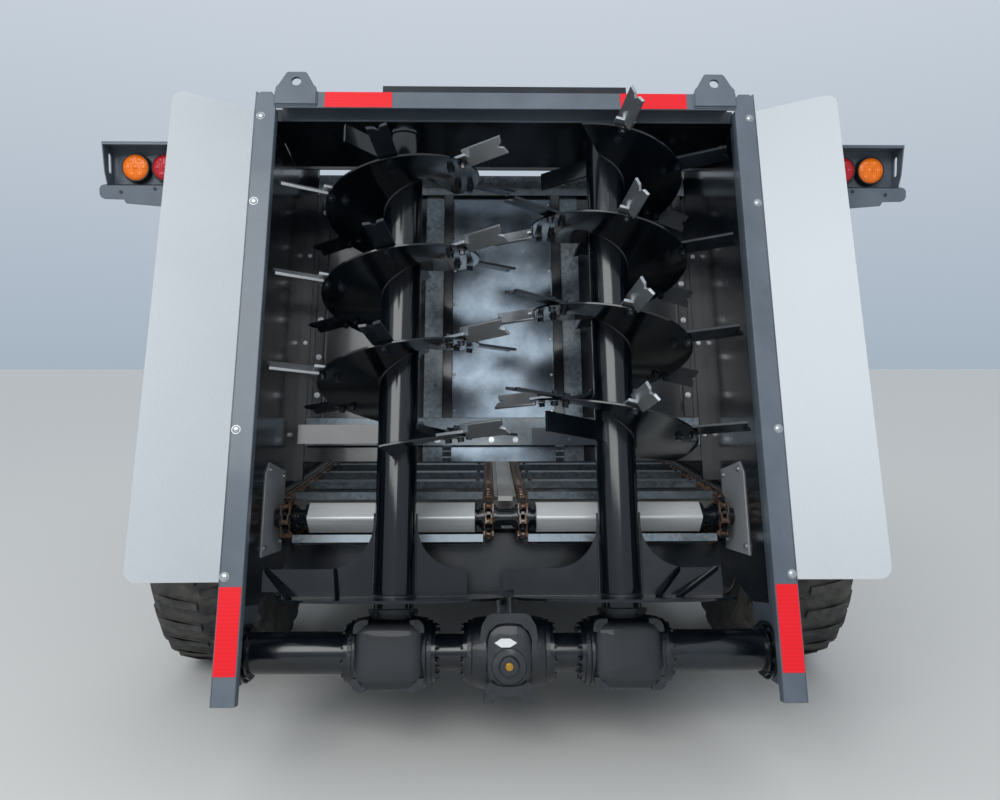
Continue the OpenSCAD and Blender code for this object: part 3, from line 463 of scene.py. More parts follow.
# %% Beater tubes, discs, paddles and struts
ALONG_Z = ((0, 0, 0), (0, 0, 1))
TUBE_R, TUBE_TOP, DISC_R, DISC_T = 84, 2412, 450, 350
SCOOP_R, SCOOP_U, SCOOP_W = 180, 270, 300
PADDLES = {
    "left": [(190, 514, [((502, 0, 118), (395, 160, 8)), ((235, 0, 118), (222, 140, 8))]), (10, 296, [])],
    "right": [(170, 483, []),
              (350, 395, [((383, 0, 118), (215, -150, 8)), ((235, 0, 118), (140, -130, 8))])],
}
BARS = {"left": [(225, 2258, 330), (180, 985, 420)], "right": [(147, 2258, 330), (222, 985, 420)]}


def upright(bm, turn, outline):
    """An upright plate, 12 mm thick, whose outline (u, w) runs out from the beater's axis."""
    plate(bm, [turn @ Vector((u, -6, w)) for u, w in outline], turn.to_3x3() @ Vector((0, 12, 0)))


for side, b in BEATERS.items():
    bm = bmesh.new()
    rod(bm, TUBE_R, (0, 0, DISC_T + 8), (0, 0, TUBE_TOP), 64)
    rod(bm, 30, (0, 0, 2380), (0, 0, 2454), 40)
    rod(bm, 80, (0, 0, 316.5), (0, 0, DISC_T + 2), 48)
    disc = [(0.01, 0), (DISC_R - 1, 0), (DISC_R, 1), (DISC_R, 9), (DISC_R - 1, 10), (0.01, 10)]
    lathe(bm, [(r, DISC_T + z) for r, z in disc], *ALONG_Z, 128)
    rim = [(83, -8), (89, -8), (91, -6), (91, 4), (89, 6), (83, 6)]
    lathe(bm, [(r, TUBE_TOP + z) for r, z in rim], *ALONG_Z, 64)
    for angle, reach, struts in PADDLES[side]:
        turn = turned(angle - b["turned"]) @ Matrix.Translation((0, 0, DISC_T))
        scoop = [(SCOOP_U + u, SCOOP_W + w) for u, w in (polar(SCOOP_R, a) for a in range(270, 179, -6))]
        lower = [(82, 9), (438, 9), (438, 34), (reach, 34)] if reach > DISC_R else [(82, 9), (reach, 9)]
        upright(bm, turn, lower + [(reach, 114), (reach - 6, 120)] + scoop + [(90, 344), (82, 344)])
        for top, foot in struts:
            axis = (Vector(foot) - Vector(top)).normalized()
            wide = axis.cross(Vector((0, 0, 1))).normalized() * 8
            high = axis.cross(wide).normalized() * 8
            ring = [wide + high, wide - high, -wide - high, high - wide]
            plate(bm, [turn @ (Vector(top) + corner) for corner in ring],
                  turn.to_3x3() @ (Vector(foot) - Vector(top)))
    for angle, low, reach in BARS[side]:
        upright(bm, turned(angle - b["turned"]),
                [(82, low), (reach, low), (reach, low + 82), (82, low + 82)])
    finish_piece("beater_" + side + "_dressed", bm, b["place"], beater_black, "beater_" + side,
                 replaces=["beater_" + side], smooth=40, bevel=0.001)
    print("beater", side, "with", len(PADDLES[side]), "paddles")

# %% [markdown]
# ## Knives
# Every second knife is turned by 44 degrees about its own length beyond the flighting's edge, the
# same way round on both beaters; the others lie flat on it. All end in a notched fishtail. Each is
# held by two bolts with their heads on top and long nuts below. The turned ones are left bright.

# %% Knives with their bolts
def knife_outline(r_in, r_out, half, notch):
    """Outline of a knife seen from above, with its fishtail."""
    lip = r_out - notch * 0.25
    cut = [(lip, -half * 0.3), (r_out - notch, 0), (lip, half * 0.3)] if notch else []
    return [(r_in, -half), (r_out, -half), *cut, (r_out, half), (r_in, half)]


KNIFE_TILT = math.atan(PITCH / (2 * math.pi * 300))
KNIFE_TWIST = math.radians(-44)
KNIFE_HALF, FIRST_KNIFE, KNIFE_STEP, END_ROOM = 41, 25, 60, 8
for side, b in BEATERS.items():
    bm, bolts, count = bmesh.new(), bmesh.new(), 0
    for k in range(25):
        angle = FIRST_KNIFE + KNIFE_STEP * k
        if not b["start"] + END_ROOM < angle < b["start"] + TURNS * 360 - END_ROOM:
            continue
        height = b["low"] + (angle - b["start"]) / 360 * PITCH + 10 + b["lift"]
        seat = (turned(b["hand"] * angle) @ Matrix.Translation((0, 0, height))
                @ Matrix.Rotation(b["hand"] * KNIFE_TILT, 4, "X"))
        bright = k % 2 == b["odd"]
        twist = Matrix.Translation((0, 0, 6)) @ Matrix.Rotation(KNIFE_TWIST * bright, 4, "X")
        faces_before = set(bm.faces)
        mount = plate(bm, [(x, y, 0) for x, y in knife_outline(238, 372, KNIFE_HALF, 0)], (0, 0, 12))
        bmesh.ops.transform(bm, matrix=seat, verts=mount)
        tip = plate(bm, [(x, y, -5.8) for x, y in knife_outline(350, 549, KNIFE_HALF, 30)], (0, 0, 11.6))
        bmesh.ops.transform(bm, matrix=seat @ twist, verts=tip)
        for face in set(bm.faces) - faces_before:
            face.material_index = int(bright)
        for x in (268, 330):
            for z, out, length in ((12, 1, 10), (-b["lift"] - 12, -1, 16)):
                fastener = bolt(bolts, (x, 0, z), (0, 0, out), 12, length)
                bmesh.ops.transform(bolts, matrix=seat, verts=fastener)
        count += 1
    blades = finish_piece("knives_" + side + "_dressed", bm, b["place"], knife_black, "beater_" + side,
                          replaces=["knives_" + side], bevel=0.0012)
    blades.data.materials.append(zinc)
    finish_piece("knife_bolts_" + side, bolts, b["place"], knife_black, "beater_" + side)
    print(count, "knives on the", side, "beater")

# %% [markdown]
# ## Apron chains
# The four chains are cranked link chain: every link has two bars that lie close together round the
# barrel at one end and step outwards round the pin at the other, so all links are alike. There are
# 576 links, so a link keeps to a few dozen faces. Each one is set on the same loop as the CAD
# chain: two straight runs and two half turns.

# %% Apron chains, link by link
SPROCKET, SHAFT_Z, REAR_Y, FRONT_Y, LINKS = 88.0, 850.0, -6775.0, -2090.0, 144
CHAIN_X = (-975.0, -76.0, 76.0, 975.0)
RUN = FRONT_Y - REAR_Y
LOOP = 2 * RUN + 2 * math.pi * SPROCKET


def on_loop(s):
    """Point and direction on the chain's pitch line at a distance s from the rear shaft's top."""
    s %= LOOP
    half = math.pi * SPROCKET
    if s < RUN:
        return Vector((0, REAR_Y + s, SHAFT_Z + SPROCKET)), 0.0
    if RUN + half <= s < 2 * RUN + half:
        return Vector((0, FRONT_Y - (s - RUN - half), SHAFT_Z - SPROCKET)), math.pi
    if s < RUN + half:
        y, a = FRONT_Y, math.pi / 2 - (s - RUN) / SPROCKET
    else:
        y, a = REAR_Y, -math.pi / 2 - (s - 2 * RUN - half) / SPROCKET
    return Vector((0, y + SPROCKET * math.cos(a), SHAFT_Z + SPROCKET * math.sin(a))), a - math.pi / 2


def chain_link(bm, x, first, second):
    """One cranked link: two bars that are close at the first pin and step outwards at the second."""
    reach = (second - first).length
    along = (second - first).normalized()
    rise = Vector((1, 0, 0)).cross(along)
    plan = [(-12, 9), (26, 9), (40, 16), (reach + 12, 16), (reach + 12, 22), (38, 22), (24, 15.5),
            (-12, 15.5)]
    for sign in (-1, 1):
        bar = [first + along * u - rise * 12 + Vector((x + sign * w, 0, 0)) for u, w in plan]
        plate(bm, bar, rise * 24)
    rod(bm, 13, first + Vector((x - 9, 0, 0)), first + Vector((x + 9, 0, 0)), 8)
    rod(bm, 7, second + Vector((x - 25, 0, 0)), second + Vector((x + 25, 0, 0)), 6)


for number, x in enumerate(CHAIN_X, 1):
    bm = bmesh.new()
    for i in range(LINKS):
        first, _ = on_loop(i * LOOP / LINKS)
        second, _ = on_loop((i + 1) * LOOP / LINKS)
        chain_link(bm, x, first, second)
    chain = finish_piece("apron_chain_%d" % number, bm, GROUND, rusty_steel, "root",
                         replaces=["apron_chains"], smooth=30)
    print(chain.name, len(chain.data.polygons), "faces")
print("chain pitch", round(LOOP / LINKS, 1), "mm")

# %% [markdown]
# ## Rear apron shaft
# At the rear the chains run round toothed sprockets on a black shaft. Between them a polished, worn
# square tube with rounded corners keeps manure from winding round the shaft; its near-white colour
# is a painted reflection of the bright sky. Eight teeth reach between the rollers, so their angle
# follows from where the rollers stand on the loop above.

# %% Shaft, hubs and toothed sprockets
def prism(bm, outline, x0, x1):
    """Extrudes an outline of (y, z) points, drawn about the rear shaft, along x."""
    plate(bm, [(x0, REAR_Y + y, SHAFT_Z + z) for y, z in outline], (x1 - x0, 0, 0))


def collar(bm, r, x0, x1):
    """A round part of the rear shaft."""
    rod(bm, r, (x0, REAR_Y, SHAFT_Z), (x1, REAR_Y, SHAFT_Z), 40)


TEETH = 8
tooth = [(-22.5, 73), (-13, 77), (-6, 92), (-4, 101), (4, 101), (6, 92), (13, 77)]
first_tooth = 90 + math.degrees(LOOP / LINKS / SPROCKET) / 2
sprocket_outline = [polar(r, first_tooth + k * 360 / TEETH + turn)
                    for k in range(TEETH) for turn, r in tooth]
bm = bmesh.new()
collar(bm, 38, -1041.5, 1041.5)
for x in CHAIN_X:
    prism(bm, sprocket_outline, x - 9, x + 9)
    collar(bm, 58, x - 34, x + 34)
    collar(bm, 47, x - 44, x + 44)
for side in (-1, 1):
    for x in (131, 890):
        collar(bm, 62, side * x, side * (x + 6))
finish_piece("rear_shaft_dressed", bm, GROUND, frame_black, "root",
             replaces=["apron_shaft_rear"], bevel=0.001)

WRAP_TURN, WRAP_HALF, WRAP_ROUND = 35, 38, 14
rounded = []
for corner in range(WRAP_TURN, WRAP_TURN + 360, 90):
    y, z = polar(WRAP_HALF * math.sqrt(2), corner + 45)
    for step in range(0, 91, 18):
        u, w = polar(WRAP_ROUND, corner + step)
        rounded.append((y + u, z + w))
bm = bmesh.new()
for side in (-1, 1):
    prism(bm, rounded, side * 138, side * 885)
finish_piece("wrap_tubes", bm, GROUND, bright_steel, "root", bevel=0.001)
print(TEETH, "teeth a sprocket, first at", round(first_tooth, 1), "degrees")

# %% [markdown]
# ## Gearboxes
# Each casting is a barrel between two bolted side flanges. Its rear cover is a pillow shape: square
# with round corners, bulging towards the viewer, with a flat pad and a bolt in each corner. The
# pillow is lofted: rings of the same outline shrink as they come forward, and bridging joins them.

# %% Outer gearboxes
def pillow(bm, half_x, half_t, rings, power, sides=48):
    """Lofts superellipse rings; each ring is (scale, n)."""
    def bulge(v):
        return math.copysign(abs(v) ** (2 / power), v)

    loops = []
    angles = [2 * math.pi * k / sides for k in range(sides)]
    for scale, n in rings:
        verts, edges = ring_of(bm, [(half_x * scale * bulge(math.cos(a)), n,
                                     half_t * scale * bulge(math.sin(a))) for a in angles])
        loops.append(edges)
        if len(loops) in (1, len(rings)):
            bm.faces.new(verts)
    for near, far in zip(loops, loops[1:]):
        bmesh.ops.bridge_loops(bm, edges=near + far)


def barrel(bm, profile):
    """Lathes (radius, x) points about the tube's axis, closing them on the axis."""
    closed = [(0.01, profile[0][1])] + list(profile) + [(0.01, profile[-1][1])]
    lathe(bm, closed, (0, 0, 0), (1, 0, 0), 64)


def side_bolts(bm, sx):
    """The ring of bolts on one side flange of a casting."""
    for a in range(22, 360, 45):
        bolt(bm, (sx * (BOX - 10), *polar(RING_R, a)), (-sx, 0, 0), 8, 8)


# BOX is half a casting's length along the tube, and GEAR_T the tube's height up the post
BOX, RING_R, GEAR_T = 160.0, 114.24, 148
pad = [(86, 82), (80, 88), (80, 129), (100, 131), (116, 128), (129, 118), (135, 104), (136, 82)]
for side, x in (("left", -BEATER_X), ("right", BEATER_X)):
    bm = bmesh.new()
    barrel(bm, [(124, -BOX), (124, -BOX + 16), (132, -BOX + 20), (140, -90), (142, 0), (140, 90),
                (132, BOX - 20), (124, BOX - 16), (124, BOX)])
    pillow(bm, 136, 131, [(1.0, 40), (1.0, -98), (0.985, -118), (0.95, -132), (0.87, -143), (0.7, -150),
                          (0.4, -153.5), (0.15, -154)], power=5.0)
    for sx in (-1, 1):
        for st in (-1, 1):
            plate(bm, [(sx * u, -60, st * w) for u, w in pad], (0, -80, 0))
            rod(bm, 13, (sx * 107, -138, st * 105), (sx * 107, -142, st * 105), 24)
            rod(bm, 9, (sx * 107, -140, st * 105), (sx * 107, -147, st * 105), 6)
        side_bolts(bm, sx)
    rod(bm, 96, (0, 0, 100), (0, 0, 140), 48, r_top=88)
    rod(bm, 88, (0, 0, 138), (0, 0, 152), 48)
    rod(bm, 100, (0, 0, 150), (0, 0, 165), 48)
    for a in range(0, 360, 45):
        bolt(bm, (*polar(88, a), 150), (0, 0, -1), 7, 8)
    finish_piece("gearbox_" + side + "_dressed", bm, POSTS @ Matrix.Translation((x, BEATER_N, GEAR_T)),
                 cast_black, "root", replaces=["gearbox_" + side], smooth=50, bevel=0.002)
    print("gearbox", side, "at", x)

# %% [markdown]
# ## Middle gearbox
# The middle casting takes the driveline in front. Its rear has a waisted mounting plate with two
# feet, and a stepped boss round the oil level plug, which is a brass hexagon. The little diamond
# above it is left as a bare white plate.

# %% Middle gearbox, its plug and its bare plate
brass = start("brass_plug", Base_Color="#c79a45", Metallic=1.0, Roughness=0.28)[0]
white_plate = start("bare_white_plate", Base_Color="#dfe2e2", Roughness=0.5)[0]
CENTRE = POSTS @ Matrix.Translation((0, BEATER_N, GEAR_T))
PLUG_W = -40
bm = bmesh.new()
barrel(bm, [(124, -BOX), (124, -BOX + 16), (130, -BOX + 20), (139, -90), (141, 0), (139, 90),
            (130, BOX - 20), (124, BOX - 16), (124, BOX)])
waisted = [(-112, 60), (-104, 108), (-80, 146), (-60, 152), (60, 152), (80, 146), (104, 108), (112, 60),
           (74, -50), (70, -90), (98, -165), (98, -175), (60, -175), (52, -150), (-52, -150),
           (-60, -175), (-98, -175), (-98, -165), (-70, -90), (-74, -50)]
plate(bm, [(u, -60, w) for u, w in waisted], (0, -70, 0))
pillow(bm, 92, 118, [(1.0, -120), (0.98, -132), (0.9, -143), (0.7, -149)], power=3.0)
lathe(bm, [(0.01, 120), (68, 120), (68, 146), (64, 153), (40, 156), (38, 166), (33, 170), (19, 170),
           (19, 166), (0.01, 166)], (0, 0, PLUG_W), (0, -1, 0), 48)
for sx in (-1, 1):
    for w in (112, -122):
        rod(bm, 20, (sx * 72, -126, w), (sx * 72, -136, w), 24)
        rod(bm, 11, (sx * 72, -134, w), (sx * 72, -143, w), 6)
    side_bolts(bm, sx)
rod(bm, 28, (0, 0, 0), (0, 190, 0), 40)
rod(bm, 70, (0, 60, 0), (0, 128, 0), 48)
finish_piece("gearbox_middle_dressed", bm, CENTRE, cast_black, "root",
             replaces=["gearbox_centre"], smooth=50, bevel=0.002)

bm = bmesh.new()
for r, n0, n1, sides in ((15, -166, -169, 32), (12, -169, -179, 6), (7, -179, -181, 20)):
    rod(bm, r, (0, n0, PLUG_W), (0, n1, PLUG_W), sides)
finish_piece("level_plug", bm, CENTRE, brass, "root", bevel=0.0008)

bm = bmesh.new()
diamond = [(-56, 45), (-30, 61), (4, 61), (30, 45), (4, 29), (-30, 29)]
plate(bm, [(u, -152, w) for u, w in diamond], (0, -1.5, 0))
finish_piece("bare_plate", bm, CENTRE, white_plate, "root")
print("middle gearbox with", len(waisted), "corners in its plate")

# %% [markdown]
# ## Flanges of the cross tubes
# Rings of hexagon bolts close every joint between tube, gearbox and post. From behind only their
# heads show, as a row of small bumps along each rim.

# %% Bolts round the tube flanges
bm = bmesh.new()
FLANGES = ((176, 1), (284, -1), (636, 1), (1026, -1))
for side in (-1, 1):
    for x, out in FLANGES:
        rod(bm, 113, (side * x, 0, 0), (side * (x - 3 * out), 0, 0), 64)
        for a in range(18, 360, 36):
            bolt(bm, (side * x, *polar(98, a)), (side * out, 0, 0), 8, 9)
    rod(bm, 100, (side * 1010, 0, 0), (side * 1018, 0, 0), 64)
finish_piece("tube_flange_bolts", bm, CENTRE, frame_black, "root")
print("flange bolts:", 2 * len(FLANGES) * 10)

# %% [markdown]
# ## Plates with holes
# Lugs and lamp end plates are sheet parts with a hole. The outline and the hole are drawn as closed
# loops of edges, triangle_fill fills the sheet between them, and one extrusion gives it its
# thickness.

# %% Plates with holes
def pierced(bm, outline, hole, step):
    """A plate with a hole: the outline and the hole are lists of points, step is its thickness."""
    edges = ring_of(bm, outline)[1] + ring_of(bm, hole)[1]
    filled = bmesh.ops.triangle_fill(bm, use_beauty=True, use_dissolve=True, edges=edges)["geom"]
    faces = [item for item in filled if isinstance(item, bmesh.types.BMFace)]
    pushed = bmesh.ops.extrude_face_region(bm, geom=faces, use_keep_orig=True)["geom"]
    moved = [item for item in pushed if isinstance(item, bmesh.types.BMVert)]
    bmesh.ops.translate(bm, vec=step, verts=moved)


# %% [markdown]
# ## Posts and top beam
# The posts are folded sheet: a broad rear flange with its top corners cut, a lip turned forward and
# a web along the side. The sheet's folded edges are rounded, so they catch a thin line of light,
# which the bevels give. The lifting lugs are flame-cut plates welded to the beam.

# %% Posts with rounded folds
for side in (-1, 1):
    bm = bmesh.new()
    web = [(0, 0), (420, 40), (480, 100), (480, 330), (290, 330), (290, 2510.9), (0, 2425)]
    plate(bm, [(side * 1042, n, t) for n, t in web], (side * 8, 0, 0))
    flange = [(963, 0), (1049, 0), (1049, 2403), (1030, 2425), (984, 2425), (963, 2398)]
    plate(bm, [(side * x, 0, t) for x, t in flange], (0, 8, 0))
    block(bm, (side * 963, 7, 0), (side * 971, 42, 2350))
    name = "left" if side < 0 else "right"
    finish_piece("post_" + name + "_dressed", bm, POSTS, post_grey, "root",
                 replaces=["post_" + name], bevel=0.0025)
print("posts dressed")

# %% Top beam and lifting lugs
LUG_X, HOLE_T, HOLE_R = 880, 2465.5, 20
lug = [(-85, 2360), (85, 2360), (85, 2436), (72, 2452), (44, 2504), (36, 2510), (-36, 2510), (-44, 2504),
       (-72, 2452), (-85, 2436)]
hole = [(u, HOLE_T + w) for u, w in (polar(HOLE_R, k * 360 / 32) for k in range(32))]
bm = bmesh.new()
section = [(0, 2350), (0, 2425), (100, 2425), (100, 2350), (92, 2350), (92, 2417), (8, 2417), (8, 2350)]
plate(bm, [(-963, n, t) for n, t in section], (1926, 0, 0))
for side in (-1, 1):
    pierced(bm, *[[(side * LUG_X + u, -14, t) for u, t in loop] for loop in (lug, hole)], (0, 13.9, 0))
finish_piece("top_beam_dressed", bm, POSTS, post_grey, "root", replaces=["top_beam"],
             bevel=0.002)

bm = bmesh.new()
for side in (-1, 1):
    for u0, t0, u1, t1 in ((-85, 2360, 85, 2360), (-86, 2362, -86, 2424), (86, 2362, 86, 2424)):
        rod(bm, 5, (side * LUG_X + u0, -1, t0), (side * LUG_X + u1, -1, t1), 8)
finish_piece("lug_welds", bm, POSTS, post_grey, "root", smooth=60)
print("top beam with two lugs")

# %% [markdown]
# ## Folded channel behind the bearing beam
# The beam that carries the beaters' top bearings is a deep folded sheet. From behind and below only
# its black underside shows, as a broad dark band between the top beam and the gate. A flat plate
# with a lip turned up carries that underside on toward the gate, and three ribs stiffen it.

# %% Channel behind the bearing beam
bm = bmesh.new()
section = [(430, 2447), (640, 2447), (640, 2507), (634, 2507), (634, 2453), (430, 2453)]
plate(bm, [(-1040, n, t) for n, t in section], (2080, 0, 0))
for x in (-620, 0, 620):
    plate(bm, [(x - 3, n, t) for n, t in ((430, 2452), (635, 2452), (635, 2500), (430, 2500))], (6, 0, 0))
finish_piece("beam_channel", bm, POSTS, frame_black, "root", bevel=0.0015)
print("channel behind the beam, 2080 mm wide")

# %% [markdown]
# ## Gate
# The gate slides up behind the beaters. Its middle is a smooth stainless sheet held at its edges by
# rivets, two dark channels run up beside it, and outside them come galvanised strips with their
# crystal spangle. A galvanised rail with bolts crosses the bottom.

# %% Gate sheet, channels, strips and rails
GATE, GATE_FOOT, GATE_TOP = "gate", 996, 2556
bm = bmesh.new()
block(bm, (-262, 941, GATE_FOOT), (262, 947, GATE_TOP))
finish_piece("gate_sheet", bm, POSTS, gate_steel, GATE, replaces=["gate"])

bm = bmesh.new()
for side in (-1, 1):
    block(bm, (side * 306, 937, GATE_FOOT), (side * 405, 947, GATE_TOP))
block(bm, (-988, 909, 1073), (988, 915, 1214))
block(bm, (-988, 909, 1208), (988, 945, 1214))
block(bm, (-988, 915, 2440), (988, 921, GATE_TOP))
finish_piece("gate_strips", bm, POSTS, galvanised, GATE, bevel=0.001)

bm = bmesh.new()
for side in (-1, 1):
    block(bm, (side * 400, 939, GATE_FOOT), (side * 1028, 947, GATE_TOP))
    for x in (284, 940):
        for x0, x1, n1 in ((x - 25, x - 19, 941), (x + 19, x + 25, 941), (x - 25, x + 25, 915)):
            block(bm, (side * x0, 909, 1215), (side * x1, n1, 2440))
finish_piece("gate_frame", bm, POSTS, frame_black, GATE, bevel=0.0015)

bm = bmesh.new()
for side in (-1, 1):
    for k in range(7):
        dome(bm, (side * 250, 941, 1255 + 190 * k), (0, -1, 0), 8, 5, rings=2, sides=12)
    for x in (330, 620, 900):
        dome(bm, (side * x, 915, 2500), (0, -1, 0), 9, 6, rings=2, sides=12)
    for x in (60, 330, 480, 800, 960):
        bolt(bm, (side * x, 909, 1100), (0, -1, 0), 9, 7)
    for k in range(6):
        bolt(bm, (side * 940, 909, 1330 + 200 * k), (0, -1, 0), 9, 7)
finish_piece("gate_rivets", bm, POSTS, zinc, GATE)

bm = bmesh.new()
for low, high in ((-938, -560), (142, 560)):
    block(bm, (low, 903, 1072), (high, 909, 1160))
finish_piece("gate_pads", bm, POSTS, post_grey, GATE, bevel=0.001)
print("gate pieces ride", GATE)

# %% [markdown]
# ## Guide and shield bolts
# The channels that the gate slides in and the stainless shields beside the chains are bolted to the
# black walls. Their small bright heads are what makes the dark side walls readable.

# %% Bolts on guides and shields
GUIDE_BOLTS = (1130, 1610, 2090)
SHIELD_BOLTS = ((490, 560), (735, 600), (735, 900), (520, 900))
bm = bmesh.new()
for side in (-1, 1):
    for t in GUIDE_BOLTS:
        bolt(bm, (side * 1016, 924, t), (0, -1, 0), 7, 6)
    for n, t in SHIELD_BOLTS:
        bolt(bm, (side * 1037, n, t), (-side, 0, 0), 9, 7)
finish_piece("wall_bolts", bm, POSTS, zinc, "root")
print("bolts on the walls:", 2 * (len(GUIDE_BOLTS) + len(SHIELD_BOLTS)))

# %% [markdown]
# ## Lamp boxes
# Each lamp box is a folded sheet hood, open to the rear, with a slotted end plate. An amber and a
# red lamp sit in rubber rings in it, and a tapered bracket with a rounded end carries it below.

# %% Lamp hoods and brackets
HOOD_REAR, HOOD_Y = -6990, -6894
end = [(HOOD_REAR, 2461), (HOOD_Y, 2461), (HOOD_Y, 2289), (-6952, 2289), (-6974, 2340)]
slot = [(-6930 + y, middle + z) for middle, first in ((2415, 0), (2355, 180))
        for y, z in (polar(11, a) for a in range(first, first + 180, 20))]
bar = [(1051, 2294), (1668, 2294), (1682, 2289), (1689, 2278), (1689, 2252), (1682, 2240), (1668, 2234),
       (1590, 2232), (1580, 2216), (1051, 2172)]
bm = bmesh.new()
for side in (-1, 1):
    block(bm, (side * 1110, -6899, 2289), (side * 1657, HOOD_Y, 2461))
    block(bm, (side * 1110, HOOD_REAR, 2456), (side * 1660, HOOD_Y, 2461))
    block(bm, (side * 1110, HOOD_REAR, 2448), (side * 1660, -6986, 2457))
    pierced(bm, *[[(side * 1655, y, z) for y, z in loop] for loop in (end, slot)], (side * 5, 0, 0))
    plate(bm, [(side * x, -6960, z) for x, z in bar], (0, 6, 0))
    block(bm, (side * 1051, -6960, 2288), (side * 1660, HOOD_Y, 2294))
finish_piece("lamp_hoods", bm, GROUND, post_grey, "root", replaces=["lamp_brackets"],
             bevel=0.0015)

bm = bmesh.new()
for side in (-1, 1):
    for x, z in ((1600, 2262), (1460, 2276), (1250, 2262), (1120, 2262)):
        rod(bm, 7, (side * x, -6959, z), (side * x, -6963, z), 12)
finish_piece("lamp_bracket_bolts", bm, GROUND, cast_black, "root")

# %% Lenses in their rubber rings
ring_rubber = start("lamp_ring_rubber", Base_Color="#15161a", Roughness=0.55)[0]
BACK_Y, LAMP_Z = -6899, 2369
for colour, lens, x in (("amber", amber_lens, 1550), ("red", red_lens, 1426)):
    bm, rings = bmesh.new(), bmesh.new()
    for side in (-1, 1):
        spot = ((side * x, BACK_Y, LAMP_Z), (0, -1, 0), 48)
        lathe(bm, [(0.01, 8), (52, 8), (54, 31), (50, 36), (36, 39), (0.01, 41)], *spot)
        lathe(rings, [(52, 0), (60, 0), (60, 24), (57, 34), (53, 34), (52, 28)], *spot)
        for y, u, w in [(-37.5, *polar(33, a)) for a in range(0, 360, 60)] + [(-40, 0, 0)]:
            dome(bm, (side * x + u, BACK_Y + y, LAMP_Z + w), (0, -1, 0), 13, 4, rings=2, sides=14)
    finish_piece(colour + "_lenses", bm, GROUND, lens, "root",
                 replaces=[colour + "_lamps"], smooth=45)
    finish_piece(colour + "_rings", rings, GROUND, ring_rubber, "root", smooth=45)
print("two amber and two red lamps")

# %% [markdown]
# ## Tyres
# The wide flotation tyres have low lugs that run from the shoulder to the middle in a shallow
# angle, staggered left and right. The carcass is lathed from its section, with two raised rings on
# the side wall; every lug is one extruded outline, repeated round the tyre.

# %% Tyres with lugs
CROWN, BEAD = 612.0, 295.4
wall = [(0, -203), (18, -220), (40, -234), (60, -244), (66, -248), (76, -248), (82, -246), (110, -250),
        (150, -250), (156, -253), (164, -253), (170, -249)]
shoulder = [(-100, -246), (-40, -222), (-12, -190), (0, -130)]
section = [(BEAD + r, x) for r, x in wall] + [(CROWN + r, x) for r, x in shoulder]
section += [(r, -x) for r, x in reversed(section)]
LUGS, LUG_DEPTH = 30, 30
WHEEL_X, AXLE_Z = 1395, 625
lug = [(10, -16, 624), (120, 10, 624), (205, 34, 606), (240, 44, 545), (240, 84, 545), (205, 76, 606),
       (120, 54, 624), (10, 26, 624)]
for end, y in (("rear", -6180), ("front", -4680)):
    for side in (-1, 1):
        bm = bmesh.new()
        lathe(bm, section, (0, 0, 0), (1, 0, 0), 96)
        for k in range(LUGS):
            for half in (-1, 1):
                turn = Matrix.Rotation(2 * math.pi * (k + (0.5 if half > 0 else 0.0)) / LUGS, 4, "X")
                plate(bm, [turn @ Vector((half * x, w, r)) for x, w, r in lug],
                      turn.to_3x3() @ Vector((0, 0, -LUG_DEPTH)))
        name = "%s_%s" % (end, "left" if side < 0 else "right")
        place = GROUND @ Matrix.Translation((side * WHEEL_X, y, AXLE_Z))
        finish_piece("tyre_" + name + "_dressed", bm, place, rubber, "wheel_" + name,
                     replaces=["tyre_" + name], smooth=28)
        print("tyre", name, "with", 2 * LUGS, "lugs")

# %% [markdown]
# ## Welds on the beater discs, bolts on the slats
# The paddles and the tube are welded to the bottom discs. A weld is a lumpy bead a few millimetres
# wide; here it is a slim rod with the casting's bumpy finish along every corner. Each slat of the
# apron is held to its two chains by bolts, whose heads are left rusty.

# %% Weld beads on the discs and slat bolts
for side, b in BEATERS.items():
    bm = bmesh.new()
    for angle, reach, _ in PADDLES[side]:
        turn = turned(angle - b["turned"])
        for sign in (-1, 1):
            for (u0, w0), (u1, w1) in (((86, 361), (min(reach, 436), 361)), ((85, 361), (85, 690))):
                rod(bm, 4.5, turn @ Vector((u0, sign * 6, w0)), turn @ Vector((u1, sign * 6, w1)), 8)
    lathe(bm, [(83, 360), (91, 360), (89, 366), (83, 370)], *ALONG_Z, 48)
    finish_piece("disc_welds_" + side, bm, b["place"], cast_black, "beater_" + side,
                 smooth=60)

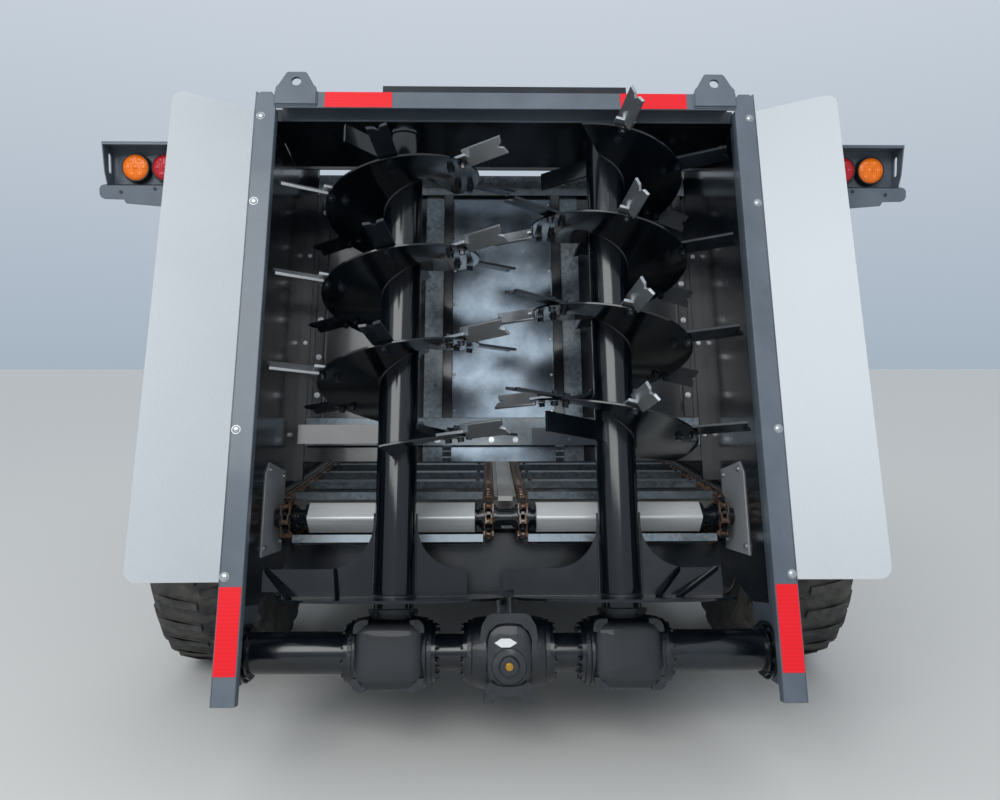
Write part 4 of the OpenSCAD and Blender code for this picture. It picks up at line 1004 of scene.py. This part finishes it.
bm = bmesh.new()
for i in range(0, LINKS, 4):
    where, tilt = on_loop((i + 0.5) * LOOP / LINKS)
    out = Vector((0, -math.sin(tilt), math.cos(tilt)))
    for side in (-1, 1):
        for x in (128, 924):
            point = where + out * 28 + Vector((side * x, 0, 0))
            rod(bm, 10, point - out, point + out * 7, 6)
finish_piece("slat_bolts", bm, GROUND, rusty_steel, "root")
print("slat bolts:", 4 * (LINKS // 4))

# %% [markdown]
# ## Floor, light and world
# The studio has a plain pale floor, a soft dome of light as on an overcast day, brightest overhead
# and bluer and darker toward the horizon, and one large lamp above and behind the camera. The light
# stays at a level where a colour renders about as it is written.

# %% Floor, light and world
bm = bmesh.new()
bmesh.ops.create_grid(bm, x_segments=1, y_segments=1, size=60.0)
bmesh.ops.translate(bm, vec=(0, 0, GROUND_Z - 0.0002), verts=bm.verts)
floor_mesh = bpy.data.meshes.new("studio_floor")
bm.to_mesh(floor_mesh)
bm.free()
studio_floor = bpy.data.objects.new("studio_floor", floor_mesh)
bpy.context.scene.collection.objects.link(studio_floor)
floor_mesh.materials.append(start("studio_floor", Base_Color="#d4d3cf", Roughness=0.9)[0])

world = bpy.data.worlds.new("studio")
bpy.context.scene.world = world
world.use_nodes = True
tree = world.node_tree
sky = tree.nodes["Background"]
direction = tree.nodes.new("ShaderNodeTexCoord").outputs["Generated"]
height = node(tree, "SeparateXYZ", {"Vector": direction}).outputs["Z"]
up = node(tree, "MapRange", {"Value": height, "From Min": -0.05, "From Max": 0.9})
tint = node(tree, "MixRGB", {"Fac": up, "Color1": "#a7b5c4", "Color2": "#eef4fb"})
surface(tree, sky, Color=tint, Strength=0.95)

lamp_data = bpy.data.lights.new("soft_lamp", "AREA")
lamp_data.shape = "RECTANGLE"
lamp_data.size, lamp_data.size_y, lamp_data.energy = 7.0, 4.0, 360.0
soft_lamp = bpy.data.objects.new("soft_lamp", lamp_data)
soft_lamp.location = (-2.0, -13.5, 5.4)
aim = Vector((0, -7.0, 1.0)) - soft_lamp.location
soft_lamp.rotation_euler = aim.to_track_quat("-Z", "Y").to_euler()
bpy.context.scene.collection.objects.link(soft_lamp)

bpy.context.scene.view_settings.view_transform = "Standard"
print("lamp:", lamp_data.energy, "W, sky strength", sky.inputs["Strength"].default_value)

# %% Finish
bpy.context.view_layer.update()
